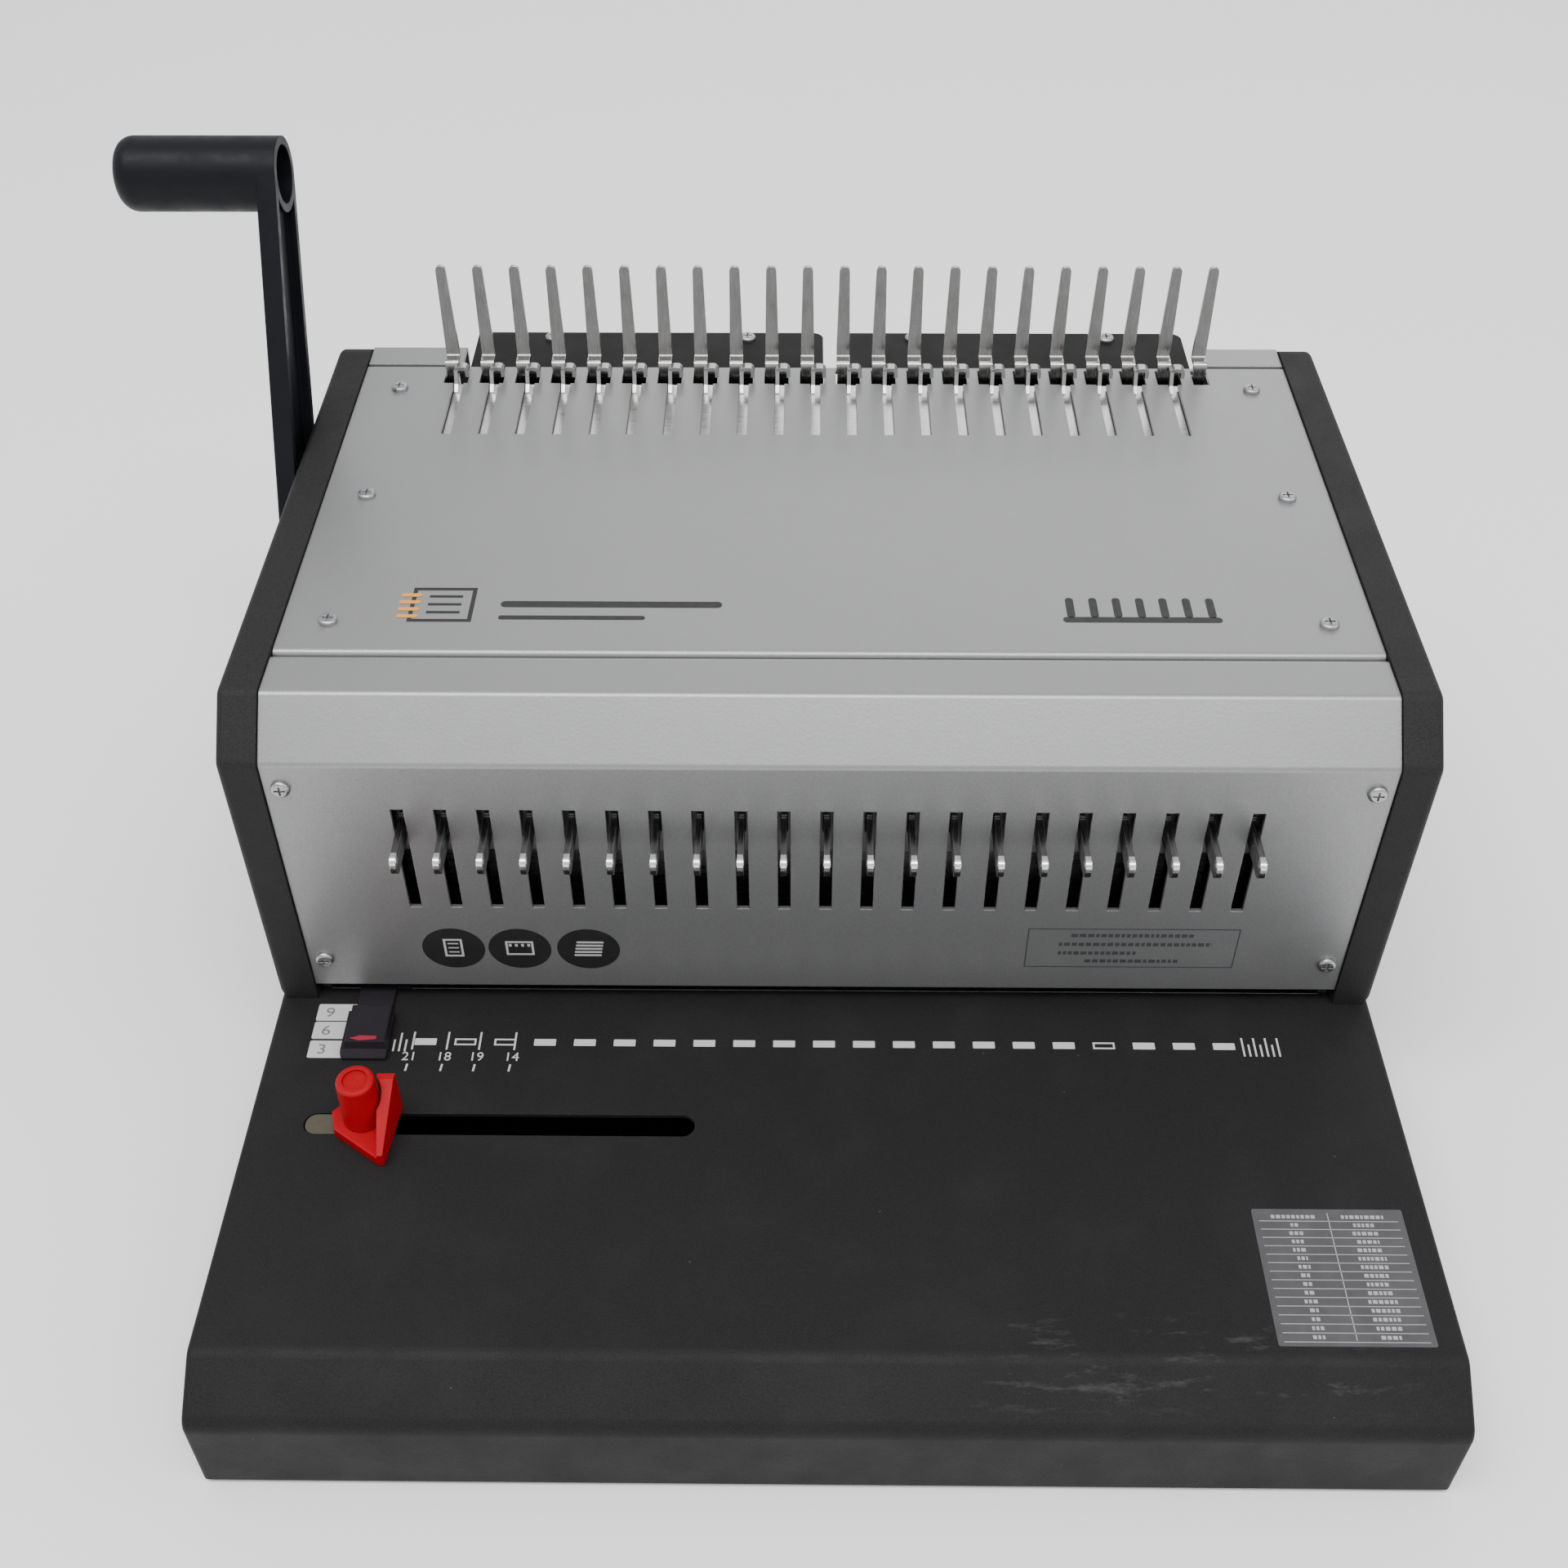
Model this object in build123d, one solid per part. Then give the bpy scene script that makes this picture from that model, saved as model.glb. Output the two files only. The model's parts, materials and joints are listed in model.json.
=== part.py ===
from build123d import *
import os
from math import acos, atan2, cos, degrees, hypot, pi, radians, sin, tan

# A hand-lever comb punch and binder. Millimetres, +X to the user's right, +Y away from the user, +Z up.
# The origin is on the table top that the machine stands on, in the machine's middle plane.

# ---- Comb standard -------------------------------------------------------------------------------
PITCH = 14.2875            # 9/16 in between comb holes
HOLES = 21
FINGERS = 22
FIRST_HOLE_X = -PITCH * (HOLES - 1) / 2
FIRST_FINGER_X = -PITCH * (FINGERS - 1) / 2
HOLE_XS = [FIRST_HOLE_X + PITCH * i for i in range(HOLES)]
FINGER_XS = [FIRST_FINGER_X + PITCH * i for i in range(FINGERS)]

# ---- Outer body ----------------------------------------------------------------------------------
HALF_W = 199.0             # base and side caps
CAP_T = 13.5
CAP_CHAMFER_X, CAP_CHAMFER_Z = 2.8, 4.5
PANEL_HALF = HALF_W - CAP_T - 0.3
TABLE_Z = 48.0             # paper table
TOP_Z = 180.0              # top cover
BASE_SHEET = 1.6
BASE_Z = 2.0               # lower edge of the folded base
BASE_FRONT_Y = -197.5
BASE_REAR_Y = 205.0
CHAMFER_Y = 19.0
CHAMFER_Z = 12.5
SHEET = 1.5
FRONT_Y = -35.0            # front cover's lower face
COVER_BOTTOM_Z = 55.0
BEVEL_Z = 163.0
BEVEL = 17.0
SEAM_Y = 2.0
SEAM_LIP = 3.9
TOP_REAR_Y = 187.5
REAR_Y = 203.0

# ---- Frames --------------------------------------------------------------------------------------
FRAME_X0 = 181.5
FRAME_X1 = 184.5
FLANGE_Z0 = 175.5
FLANGE_X0 = 163.0

# ---- Punch ---------------------------------------------------------------------------------------
PUNCH_Y = -20.0
PIN_X, PIN_Y = 7.9, 2.9
PIN_GAP = 0.15
DIE_Z0, DIE_Z1 = 38.0, TABLE_Z
DIE_Y0, DIE_Y1 = -31.0, -14.0
THROAT = 4.6
GUIDE_Z0 = TABLE_Z + THROAT
GUIDE_Z1 = 72.0
GUIDE_Y0, GUIDE_Y1 = -30.3, -8.0
PIN_Z0 = 56.2              # pin tips at rest, inside the guide block
PIN_Z1 = 139.0
CARRIAGE_Z0, CARRIAGE_Z1 = 118.0, 142.0
CARRIAGE_Y0, CARRIAGE_Y1 = -28.0, -10.0
CARRIAGE_HALF = 176.0
POST_X, POST_Y, POST_R = 162.0, -19.0, 4.0
POST_TOP = 165.0
ARM_X0, ARM_X1 = 170.0, 174.0

# ---- Pull tabs and their slots -------------------------------------------------------------------
TAB_T, TAB_H = 2.0, 8.3
TAB_Z0 = 127.4
TAB_TIP_Y = -51.5
TAB_STEP_Y0, TAB_STEP_Y1 = -30.0, -29.2
TAB_REAR_Y = -13.0
SLOT_W = 4.35
SLOT_Z0, SLOT_Z1 = 96.2, 143.4

# ---- Drive ---------------------------------------------------------------------------------------
SHAFT_Y, SHAFT_Z, SHAFT_R = 100.0, 110.0, 7.0
PRESSURE_ANGLE = radians(20)
PUNCH_MODULE, PUNCH_TEETH = 1.5, 16
HOOK_MODULE, HOOK_TEETH = 2.0, 23
BACKLASH = 0.25            # taken off each tooth's thickness
ADDENDUM, DEDENDUM = 0.8, 1.15
PUNCH_GEAR_X = (160.5, 169.5)
HOOK_GEAR_X = (146.0, 154.0)

# ---- Hooks and fingers ---------------------------------------------------------------------------
PLATE_Z0, PLATE_Z1 = 176.3, 177.8
PLATE_HALF = 158.0
PLATE_Y0, PLATE_Y1 = 96.0, 176.0
RAIL_X0, RAIL_X1 = 155.5, 162.7
RAIL_Z0, RAIL_Z1, RAIL_TOP = 165.5, 175.3, 178.2
RAIL_Y0, RAIL_Y1 = 58.0, 178.0
NOTCH_Y0, NOTCH_Y1 = 173.4, 183.8
NOTCH_LEFT, NOTCH_RIGHT = -2.7, 6.9
LAST_NOTCH_RIGHT = 3.7
HOOK_SLOT_Y0 = 136.0
HOOK_SLOT_LEFT, HOOK_SLOT_RIGHT = 1.4, 5.3
HOOK_LEFT, HOOK_T, HOOK_W = 1.75, 1.5, 5.9
HOOK_Y0, HOOK_Y1 = 174.6, 178.4
HOOK_TIP_Z, HOOK_TOP = 182.0, 186.4
FINGER_T = 1.5
FINGER_SHIFT = 0.2
FINGER_ROOT_W, FINGER_TIP_W, FINGER_LEG_W = 5.3, 3.9, 4.6
FINGER_LEG_Y, FINGER_FACE_Y = 179.6, 185.4
FINGER_LEDGE_Z, FINGER_TIP_Z = 185.8, 225.5
FINGER_LEAN = 2.2
BAR_Y1 = 184.1

# ---- Lever ---------------------------------------------------------------------------------------
LEVER_X0, LEVER_X1 = -208.5, -201.0
HUB_R = 19.0
GRIP_Y, GRIP_Z, GRIP_R = 176.5, 266.0, 13.5
GRIP_END_X = -262.0

# ---- Margin selector and back stop ---------------------------------------------------------------
KNOB_X0, KNOB_X1 = -170.3, -155.8
KNOB_STEP_X0, KNOB_STEP_X1 = -172.0, -155.5
KNOB_Y0, KNOB_Y1 = -64.7, -44.6
KNOB_TOP_Z = 54.6
LINK_Z = 52.6
LINK_PIN_TOP = 54.8
LEVER_PIVOT_X, LEVER_PIVOT_Y = -176.0, -8.1
KNOB_PIN_X, STOP_PIN_X = -156.0, -168.5
KNOB_TRAVEL = 16.4
KNOB_PIN_Y = LEVER_PIVOT_Y - KNOB_TRAVEL / 2
STOP_RATIO = (STOP_PIN_X - LEVER_PIVOT_X) / (KNOB_PIN_X - LEVER_PIVOT_X)
STOP_PIN_Y = LEVER_PIVOT_Y - STOP_RATIO * KNOB_TRAVEL / 2
STOP_Y0, STOP_Y1 = -15.5, -10.0
PIVOT_R, LINK_PIN_R = 2.0, 1.5

# ---- Edge guide ----------------------------------------------------------------------------------
GUIDE_SLOT_Y0, GUIDE_SLOT_Y1 = -96.5, -87.6
GUIDE_SLOT_X0, GUIDE_SLOT_X1 = -179.5, -44.6
GUIDE_SLOT_Y = (GUIDE_SLOT_Y0 + GUIDE_SLOT_Y1) / 2
FIN_REAR_X = (-152.5, -146.3)
FIN_FRONT_X = (-150.6, -148.6)
FIN_FRONT_Y, FIN_REAR_Y = -109.5, -85.0
FIN_TOP = 67.0
GUIDE_KNOB_X, GUIDE_KNOB_R = -158.0, 6.5
GUIDE_KNOB_TOP = 72.6

# ---- Chip drawer and feet ------------------------------------------------------------------------
DRAWER_HALF = 148.0
DRAWER_Y0 = -36.0
DRAWER_Z0, DRAWER_Z1 = 6.5, 34.0
FASCIA_T = 2.7
FOOT_R, FOOT_H = 10.0, 4.0
FOOT_PLACES = [(x, y) for x in (-170, 170) for y in (-170, 180)] + [(0, 0)]
PLATE_T = 1.5

# ---- Screws --------------------------------------------------------------------------------------
SCREW_HEAD_R, SCREW_HEAD_H, SCREW_R = 3.3, 1.8, 1.5
TOP_SCREWS = [(side * 169.5, y) for side in (-1, 1) for y in (19.0, 94.0, 169.0)]
FRONT_SCREWS = [(side * 179.5, z) for side in (-1, 1) for z in (69.0, 153.0)]
SHELF_Z = 176.5
SHELF_T = 2.0
SHELF_Y0, SHELF_Y1 = 184.2, 220.0
SHELF_SPANS = {"comb_shelf_left": (-144.7, -0.4), "comb_shelf_right": (5.5, 149.0)}
SHELF_SCREW_INSET = 31.5
SHELF_SCREW_Y = 215.0


# ---- Helpers -------------------------------------------------------------------------------------
def block(x0, x1, y0, y1, z0, z1):
    """A box between two corners."""
    centre = Pos((x0 + x1) / 2, (y0 + y1) / 2, (z0 + z1) / 2)
    return centre * Box(abs(x1 - x0), abs(y1 - y0), abs(z1 - z0))


def prism_x(outline, x0, x1):
    """A prism along X with a (y, z) outline."""
    face = Face(Wire.make_polygon([(x0, y, z) for y, z in outline]))
    return Part() + Solid.extrude(face, Vector(x1 - x0, 0, 0))


def prism_z(outline, z0, z1):
    """A prism along Z with an (x, y) outline."""
    face = Face(Wire.make_polygon([(x, y, z0) for x, y in outline]))
    return Part() + Solid.extrude(face, Vector(0, 0, z1 - z0))


def prism_y(outline, y0, y1):
    """A prism along Y with an (x, z) outline."""
    face = Face(Wire.make_polygon([(x, y0, z) for x, z in outline]))
    return Part() + Solid.extrude(face, Vector(0, y1 - y0, 0))


def rod_x(x0, x1, y, z, radius):
    """A round bar along X."""
    return Pos((x0 + x1) / 2, y, z) * Rot(0, 90, 0) * Cylinder(radius, abs(x1 - x0))


def rod_y(x, y0, y1, z, radius):
    """A round bar along Y."""
    return Pos(x, (y0 + y1) / 2, z) * Rot(90, 0, 0) * Cylinder(radius, abs(y1 - y0))


def rod_z(x, y, z0, z1, radius):
    """A round bar along Z."""
    return Pos(x, y, (z0 + z1) / 2) * Cylinder(radius, abs(z1 - z0))


def joined(pieces):
    """One part made of all the pieces."""
    return Part() + list(pieces)


def offset_right(path, distance):
    """The path moved to its right-hand side, with mitred corners."""
    moved = []
    for i, point in enumerate(path):
        normals = []
        for a, b in ((i - 1, i), (i, i + 1)):
            if a >= 0 and b < len(path):
                dy, dz = path[b][0] - path[a][0], path[b][1] - path[a][1]
                length = hypot(dy, dz)
                normals.append((dz / length, -dy / length))
        sum_y, sum_z = sum(n[0] for n in normals), sum(n[1] for n in normals)
        scale = distance * len(normals) / (sum_y**2 + sum_z**2)
        moved.append((point[0] + sum_y * scale, point[1] + sum_z * scale))
    return moved


def edges_at(part, points, axis=Axis.X, reach=0.05):
    """The edges along an axis that pass through the given (y, z) points."""
    found = []
    for edge in part.edges().filter_by(axis):
        middle = edge.center()
        if any(hypot(middle.Y - y, middle.Z - z) < reach for y, z in points):
            found.append(edge)
    return found


def folded_sheet(path, thickness, x0, x1, bend):
    """A sheet folded along X: path is its outer (y, z) line, and the metal lies to the right of it."""
    inner = offset_right(path, thickness)
    sheet = prism_x(path + inner[::-1], x0, x1)
    for i in range(1, len(path) - 1):
        before, at, after = path[i - 1], path[i], path[i + 1]
        turn = (at[0] - before[0]) * (after[1] - at[1]) - (at[1] - before[1]) * (after[0] - at[0])
        outer_line, inner_line = (path[i], inner[i]) if turn < 0 else (inner[i], path[i])
        sheet = fillet(edges_at(sheet, [outer_line]), bend + thickness)
        sheet = fillet(edges_at(sheet, [inner_line]), bend)
    return sheet


def mirrored(part):
    """The same part on the other side of the middle plane."""
    return mirror(part, about=Plane.YZ)


def involute(angle):
    return tan(angle) - angle


def pinion(teeth, module, x0, x1, gap_angle):
    """A spur pinion on the shaft, with the middle of a tooth gap at gap_angle (radians, from +Y to +Z)."""
    pitch_r = teeth * module / 2
    base_r = pitch_r * cos(PRESSURE_ANGLE)
    root_r, tip_r = pitch_r - DEDENDUM * module, pitch_r + ADDENDUM * module
    half_pitch = (pi * module / 2 - BACKLASH) / 2 / pitch_r
    flank_r = [root_r] + [max(base_r, root_r) + (tip_r - max(base_r, root_r)) * s / 4 for s in range(5)]
    outline = []
    for tooth in range(teeth):
        middle = gap_angle + (tooth + 0.5) * 2 * pi / teeth
        half = [half_pitch + involute(PRESSURE_ANGLE) - involute(acos(min(1, base_r / r))) for r in flank_r]
        rising = [(r, middle - h) for r, h in zip(flank_r, half)]
        falling = [(r, middle + h) for r, h in zip(flank_r[::-1], half[::-1])]
        outline += rising + falling
    points = [(SHAFT_Y + r * cos(a), SHAFT_Z + r * sin(a)) for r, a in outline]
    return prism_x(points, x0, x1) - rod_x(x0 - 1, x1 + 1, SHAFT_Y, SHAFT_Z, SHAFT_R + 0.02)


def rack_teeth(module, first, last):
    """(along, height) points of a rack's toothed edge about its pitch line, with a tooth centred at 0."""
    pitch = pi * module
    half = (pitch / 2 - BACKLASH) / 2
    lean = tan(PRESSURE_ANGLE)
    tip, root = ADDENDUM * module, DEDENDUM * module
    points = []
    for tooth in range(first, last + 1):
        centre = tooth * pitch
        points += [(centre - half - root * lean, -root), (centre - half + tip * lean, tip)]
        points += [(centre + half - tip * lean, tip), (centre + half + root * lean, -root)]
    return points


def pan_screw(length):
    """A pan-head screw with a cross recess, head up, its seat at z = 0."""
    head = Pos(0, 0, SCREW_HEAD_H / 2) * Cylinder(SCREW_HEAD_R, SCREW_HEAD_H)
    head = fillet(head.edges().group_by(Axis.Z)[-1], 1.2)
    recess = joined([block(-1.9, 1.9, -0.35, 0.35, 0.7, 3), block(-0.35, 0.35, -1.9, 1.9, 0.7, 3)])
    return head - recess + rod_z(0, 0, -length, 0, SCREW_R)


# ---- Base ----------------------------------------------------------------------------------------
def base_outline(inset):
    """The base's side view, moved inwards by the sheet's thickness."""
    front, rear = BASE_FRONT_Y + inset, BASE_REAR_Y - inset
    top = TABLE_Z - inset
    slope = inset * 0.45
    return [
        (front, BASE_Z),
        (front, TABLE_Z - CHAMFER_Z - slope),
        (BASE_FRONT_Y + CHAMFER_Y + slope, top),
        (rear, top),
        (rear, BASE_Z),
    ]


def base_shell():
    outer = prism_x(base_outline(0), -HALF_W, HALF_W)
    bends = base_outline(0)[1:3]
    outer = fillet(edges_at(outer, bends), 7)
    edges = [e for e in outer.edges() if abs(abs(e.center().X) - HALF_W) < 0.01 and e.center().Z > BASE_Z + 1]
    outer = fillet(edges, 1.9)
    inner = prism_x(base_outline(BASE_SHEET), -HALF_W + BASE_SHEET, HALF_W - BASE_SHEET)
    inner = fillet(edges_at(inner, base_outline(BASE_SHEET)[1:3]), 5.4)
    return outer - inner


def base_platform():
    """Folded steel base: front wall, sloping front edge, paper table, side and rear walls."""
    base = base_shell()
    base -= block(-181.4, 181.4, DIE_Y0 - 0.3, DIE_Y1 + 0.3, 40, 50)
    slot = block(GUIDE_SLOT_X0, GUIDE_SLOT_X1, GUIDE_SLOT_Y0, GUIDE_SLOT_Y1, 40, 50)
    base -= fillet(slot.edges().filter_by(Axis.Z), (GUIDE_SLOT_Y1 - GUIDE_SLOT_Y0) / 2 - 0.01)
    base -= block(-164.4, -159.6, -62.4, -37.2, 40, 50)
    base -= block(-DRAWER_HALF - 1, DRAWER_HALF + 1, 200, 206, 5.7, DRAWER_Z1 + 1)
    return base + rod_z(LEVER_PIVOT_X, LEVER_PIVOT_Y, TABLE_Z - 1, 55, PIVOT_R)


def bottom_plate():
    edge = BASE_SHEET + 0.4
    plate = block(-HALF_W + edge, HALF_W - edge, BASE_FRONT_Y + edge, BASE_REAR_Y - edge, FOOT_H, FOOT_H + PLATE_T)
    for x, y in FOOT_PLACES:
        plate -= rod_z(x, y, 0, 10, 3)
    return plate


def rubber_feet():
    feet = []
    for x, y in FOOT_PLACES:
        pad = Pos(x, y, FOOT_H / 2) * Cone(FOOT_R - 1.2, FOOT_R, FOOT_H)
        feet.append(pad + rod_z(x, y, FOOT_H, FOOT_H + PLATE_T, 3))
    return Compound(children=feet)


def chip_drawer():
    """Waste tray under the die; it pulls out at the rear."""
    rear = BASE_REAR_Y + 0.3
    tray = block(-DRAWER_HALF, DRAWER_HALF, DRAWER_Y0, rear, DRAWER_Z0, DRAWER_Z1)
    tray -= block(-DRAWER_HALF + 1.6, DRAWER_HALF - 1.6, DRAWER_Y0 + 1.6, rear - 1.6, DRAWER_Z0 + 1.6, 40)
    fascia = block(-154, 154, rear, rear + FASCIA_T, 5, 38)
    fascia = fillet(fascia.edges().filter_by(Axis.Y), 3)
    grip = block(-30, 30, rear + FASCIA_T, rear + 11, 30, 33)
    grip = fillet(grip.edges().filter_by(Axis.Z).group_by(Axis.Y)[-1], 5)
    return tray + fascia + grip


# ---- Covers --------------------------------------------------------------------------------------
def cap_outline(inset):
    low, high = TABLE_Z + inset, TOP_Z + 1.2 - inset
    front, rear = FRONT_Y - 1.0 + inset, BASE_REAR_Y - inset
    bevel_z, bevel_y = BEVEL_Z + 0.6 - inset * 0.4, FRONT_Y + BEVEL - 0.4 + inset * 0.4
    return [(front, low), (front, bevel_z), (bevel_y, high), (rear, high), (rear, low)]


def side_cap():
    """Right-hand side cap: a hollow moulding, open towards the machine."""
    inner_x = HALF_W - CAP_T
    wall = 2.5
    cap = prism_x(cap_outline(0), inner_x, HALF_W)
    corners = cap_outline(0)
    cap = fillet(edges_at(cap, corners[1:3]), 5)
    cap = fillet(edges_at(cap, [corners[3]]), 10)
    rim = [e for e in cap.edges() if abs(e.center().X - HALF_W) < 0.01 and e.center().Z > TABLE_Z + 1]
    cap = fillet(rim, 2.6)
    cap -= prism_y(
        [
            (HALF_W - CAP_CHAMFER_X, TABLE_Z),
            (HALF_W, TABLE_Z + CAP_CHAMFER_Z),
            (HALF_W + 1, TABLE_Z + CAP_CHAMFER_Z),
            (HALF_W + 1, TABLE_Z - 1),
            (HALF_W - CAP_CHAMFER_X, TABLE_Z - 1),
        ],
        FRONT_Y - 5,
        BASE_REAR_Y + 5,
    )
    cavity = prism_x(cap_outline(wall), inner_x - 1, HALF_W - wall)
    cavity = fillet(edges_at(cavity, [cap_outline(wall)[3]]), 7.5)
    return cap - cavity


def side_cap_left():
    cap = mirrored(side_cap())
    return cap - rod_x(-200, -190, SHAFT_Y, SHAFT_Z, SHAFT_R + 4)


def front_cover():
    """Silver front: slotted lower face, bevel, and a flat strip up to the seam."""
    path = [
        (FRONT_Y, COVER_BOTTOM_Z),
        (FRONT_Y, BEVEL_Z),
        (FRONT_Y + BEVEL, TOP_Z),
        (SEAM_Y - 0.4, TOP_Z),
        (SEAM_Y - 0.4, TOP_Z - SEAM_LIP),
    ]
    cover = folded_sheet(path, SHEET, -PANEL_HALF, PANEL_HALF, 1.2)
    for x in HOLE_XS:
        half = SLOT_W / 2
        cover -= block(x - half, x + half, FRONT_Y - 1, FRONT_Y + SHEET + 1, SLOT_Z0, SLOT_Z1)
    for x, z in FRONT_SCREWS:
        cover -= rod_y(x, FRONT_Y - 1, FRONT_Y + 3, z, SCREW_R + 0.2)
    return cover


def top_cover():
    """Silver top: comb notches along the rear edge, and a slot in front of each for its hook."""
    path = [(SEAM_Y + 0.4, TOP_Z - SEAM_LIP), (SEAM_Y + 0.4, TOP_Z), (TOP_REAR_Y, TOP_Z), (TOP_REAR_Y, TOP_Z - 3)]
    cover = folded_sheet(path, SHEET, -PANEL_HALF, PANEL_HALF, 0.8)
    for i, x in enumerate(FINGER_XS):
        last = i == FINGERS - 1
        right = LAST_NOTCH_RIGHT if last else NOTCH_RIGHT
        cover -= block(x + NOTCH_LEFT, x + right, NOTCH_Y0, NOTCH_Y1, 170, 190)
        if not last:
            cover -= block(x + HOOK_SLOT_LEFT, x + HOOK_SLOT_RIGHT, HOOK_SLOT_Y0, NOTCH_Y0 + 1, 170, 190)
    for x, y in TOP_SCREWS:
        cover -= rod_z(x, y, 170, 190, SCREW_R + 0.2)
    return cover


def rear_cover():
    """Silver back with a wide window behind the fingers, so the comb hangs free."""
    window_z = 150
    ears = ((-PANEL_HALF, -147.0), (155.0, PANEL_HALF))
    wall = block(-PANEL_HALF, PANEL_HALF, REAR_Y - SHEET, REAR_Y, 50, window_z)
    for x0, x1 in ears:
        ear = folded_sheet([(REAR_Y, window_z), (REAR_Y, TOP_Z), (TOP_REAR_Y + 0.25, TOP_Z)][::-1], SHEET, x0, x1, 1.0)
        wall += ear
    return wall


def frame_plate_right():
    """Inner side frame, with flanges that the top and front covers screw to."""
    web = prism_x(
        [(-30.5, TABLE_Z), (-30.5, 161), (-15.5, 176), (185, 176), (185, 165), (200, 165), (200, TABLE_Z)],
        FRAME_X0,
        FRAME_X1,
    )
    frame = web + block(FLANGE_X0, FRAME_X1, 6, 184, FLANGE_Z0, TOP_Z - SHEET)
    frame += block(170, FRAME_X1, FRONT_Y + SHEET, -30.5, 58, 160)
    frame -= rod_x(180, 186, SHAFT_Y, SHAFT_Z, 10.02)
    for x, y in TOP_SCREWS:
        if x > 0:
            frame -= rod_z(x, y, 170, 190, SCREW_R + 0.02)
    for x, z in FRONT_SCREWS:
        if x > 0:
            frame -= rod_y(x, -36, -29, z, SCREW_R + 0.02)
    return frame


# ---- Punch ---------------------------------------------------------------------------------------
def pin_holes(z0, z1, gap):
    half_x, half_y = PIN_X / 2 + gap, PIN_Y / 2 + gap
    return joined(block(x - half_x, x + half_x, PUNCH_Y - half_y, PUNCH_Y + half_y, z0, z1) for x in HOLE_XS)


def lower_die():
    return block(-181.2, 181.2, DIE_Y0, DIE_Y1, DIE_Z0, DIE_Z1) - pin_holes(DIE_Z0 - 1, DIE_Z1 + 1, PIN_GAP)


def pin_guide_block():
    guide = block(-181.2, 181.2, GUIDE_Y0, GUIDE_Y1, GUIDE_Z0, GUIDE_Z1)
    guide -= pin_holes(GUIDE_Z0 - 1, GUIDE_Z1 + 1, PIN_GAP)
    guide -= block(-182, -148.5, GUIDE_Y0 - 1, GUIDE_Y1 + 1, GUIDE_Z0 - 1, 58)
    for side in (-1, 1):
        guide -= rod_z(side * POST_X, POST_Y, 60, 80, POST_R + 0.02)
    return guide


def guide_posts():
    posts = []
    for side in (-1, 1):
        post = rod_z(side * POST_X, POST_Y, 60, POST_TOP, POST_R)
        posts.append(chamfer(post.edges().group_by(Axis.Z)[-1], 1))
    return Compound(children=posts)


def tab_groove(x, y0, y1):
    return block(x - TAB_T / 2 - 0.25, x + TAB_T / 2 + 0.25, y0, y1, TAB_Z0 - 0.3, TAB_Z0 + TAB_H + 0.3)


def punch_pins():
    """21 rectangular punches, notched at the tip for shear, with a window near the top for the tab."""
    pins = []
    for x in HOLE_XS:
        pin = block(x - PIN_X / 2, x + PIN_X / 2, PUNCH_Y - PIN_Y / 2, PUNCH_Y + PIN_Y / 2, PIN_Z0, PIN_Z1)
        pin -= Pos(x, PUNCH_Y, PIN_Z0) * Rot(90, 0, 0) * Rot(0, 0, 45) * Box(1.8, 1.8, 10)
        pins.append(pin - tab_groove(x, PUNCH_Y - PIN_Y, PUNCH_Y + PIN_Y))
    return Compound(children=pins)


def punch_carriage():
    """Cross beam that presses the punches down through their pull tabs."""
    beam = block(-CARRIAGE_HALF, CARRIAGE_HALF, CARRIAGE_Y0, CARRIAGE_Y1, CARRIAGE_Z0, CARRIAGE_Z1)
    beam -= pin_holes(CARRIAGE_Z0 - 1, CARRIAGE_Z1 + 1, 0.05)
    for x in HOLE_XS:
        beam -= tab_groove(x, CARRIAGE_Y0 - 1, TAB_REAR_Y + 0.6)
    for side in (-1, 1):
        beam -= rod_z(side * POST_X, POST_Y, CARRIAGE_Z0 - 1, CARRIAGE_Z1 + 1, POST_R + 0.08)
    return beam


def punch_racks():
    """Two arms from the beam back to the drive shaft, each ending in a vertical rack."""
    pitch_y = SHAFT_Y - PUNCH_TEETH * PUNCH_MODULE / 2
    back = 4.5
    racks = []
    for side in (-1, 1):
        x0, x1 = sorted((side * ARM_X0, side * ARM_X1))
        arm = block(x0, x1, CARRIAGE_Y1, pitch_y - 3, CARRIAGE_Z0, CARRIAGE_Z1 - 4)
        edge = [(pitch_y + h, SHAFT_Z + a) for a, h in rack_teeth(PUNCH_MODULE, -2, 5)]
        top, bottom = edge[-1][1] + 1.5, edge[0][1] - 1.5
        outline = [(pitch_y - 2 - back, bottom), (edge[0][0], bottom)] + edge
        outline += [(edge[-1][0], top), (pitch_y - 2 - back, top)]
        r0, r1 = sorted((side * (PUNCH_GEAR_X[0] - 0.5), side * ARM_X0))
        racks.append(arm + prism_x(outline, r0, r1))
    return Compound(children=racks)


def return_springs():
    coils = []
    for side in (-1, 1):
        wire_r, coil_r = 0.7, 5.6
        height = CARRIAGE_Z0 - GUIDE_Z1 - 2 * wire_r
        path = Helix(pitch=height / 9, height=height, radius=coil_r)
        section = Plane(origin=path @ 0, z_dir=path % 0) * Circle(wire_r)
        coil = sweep(section, path=path)
        coils.append(Pos(side * POST_X, POST_Y, GUIDE_Z1 + wire_r) * coil)
    return Compound(children=coils)


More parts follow.
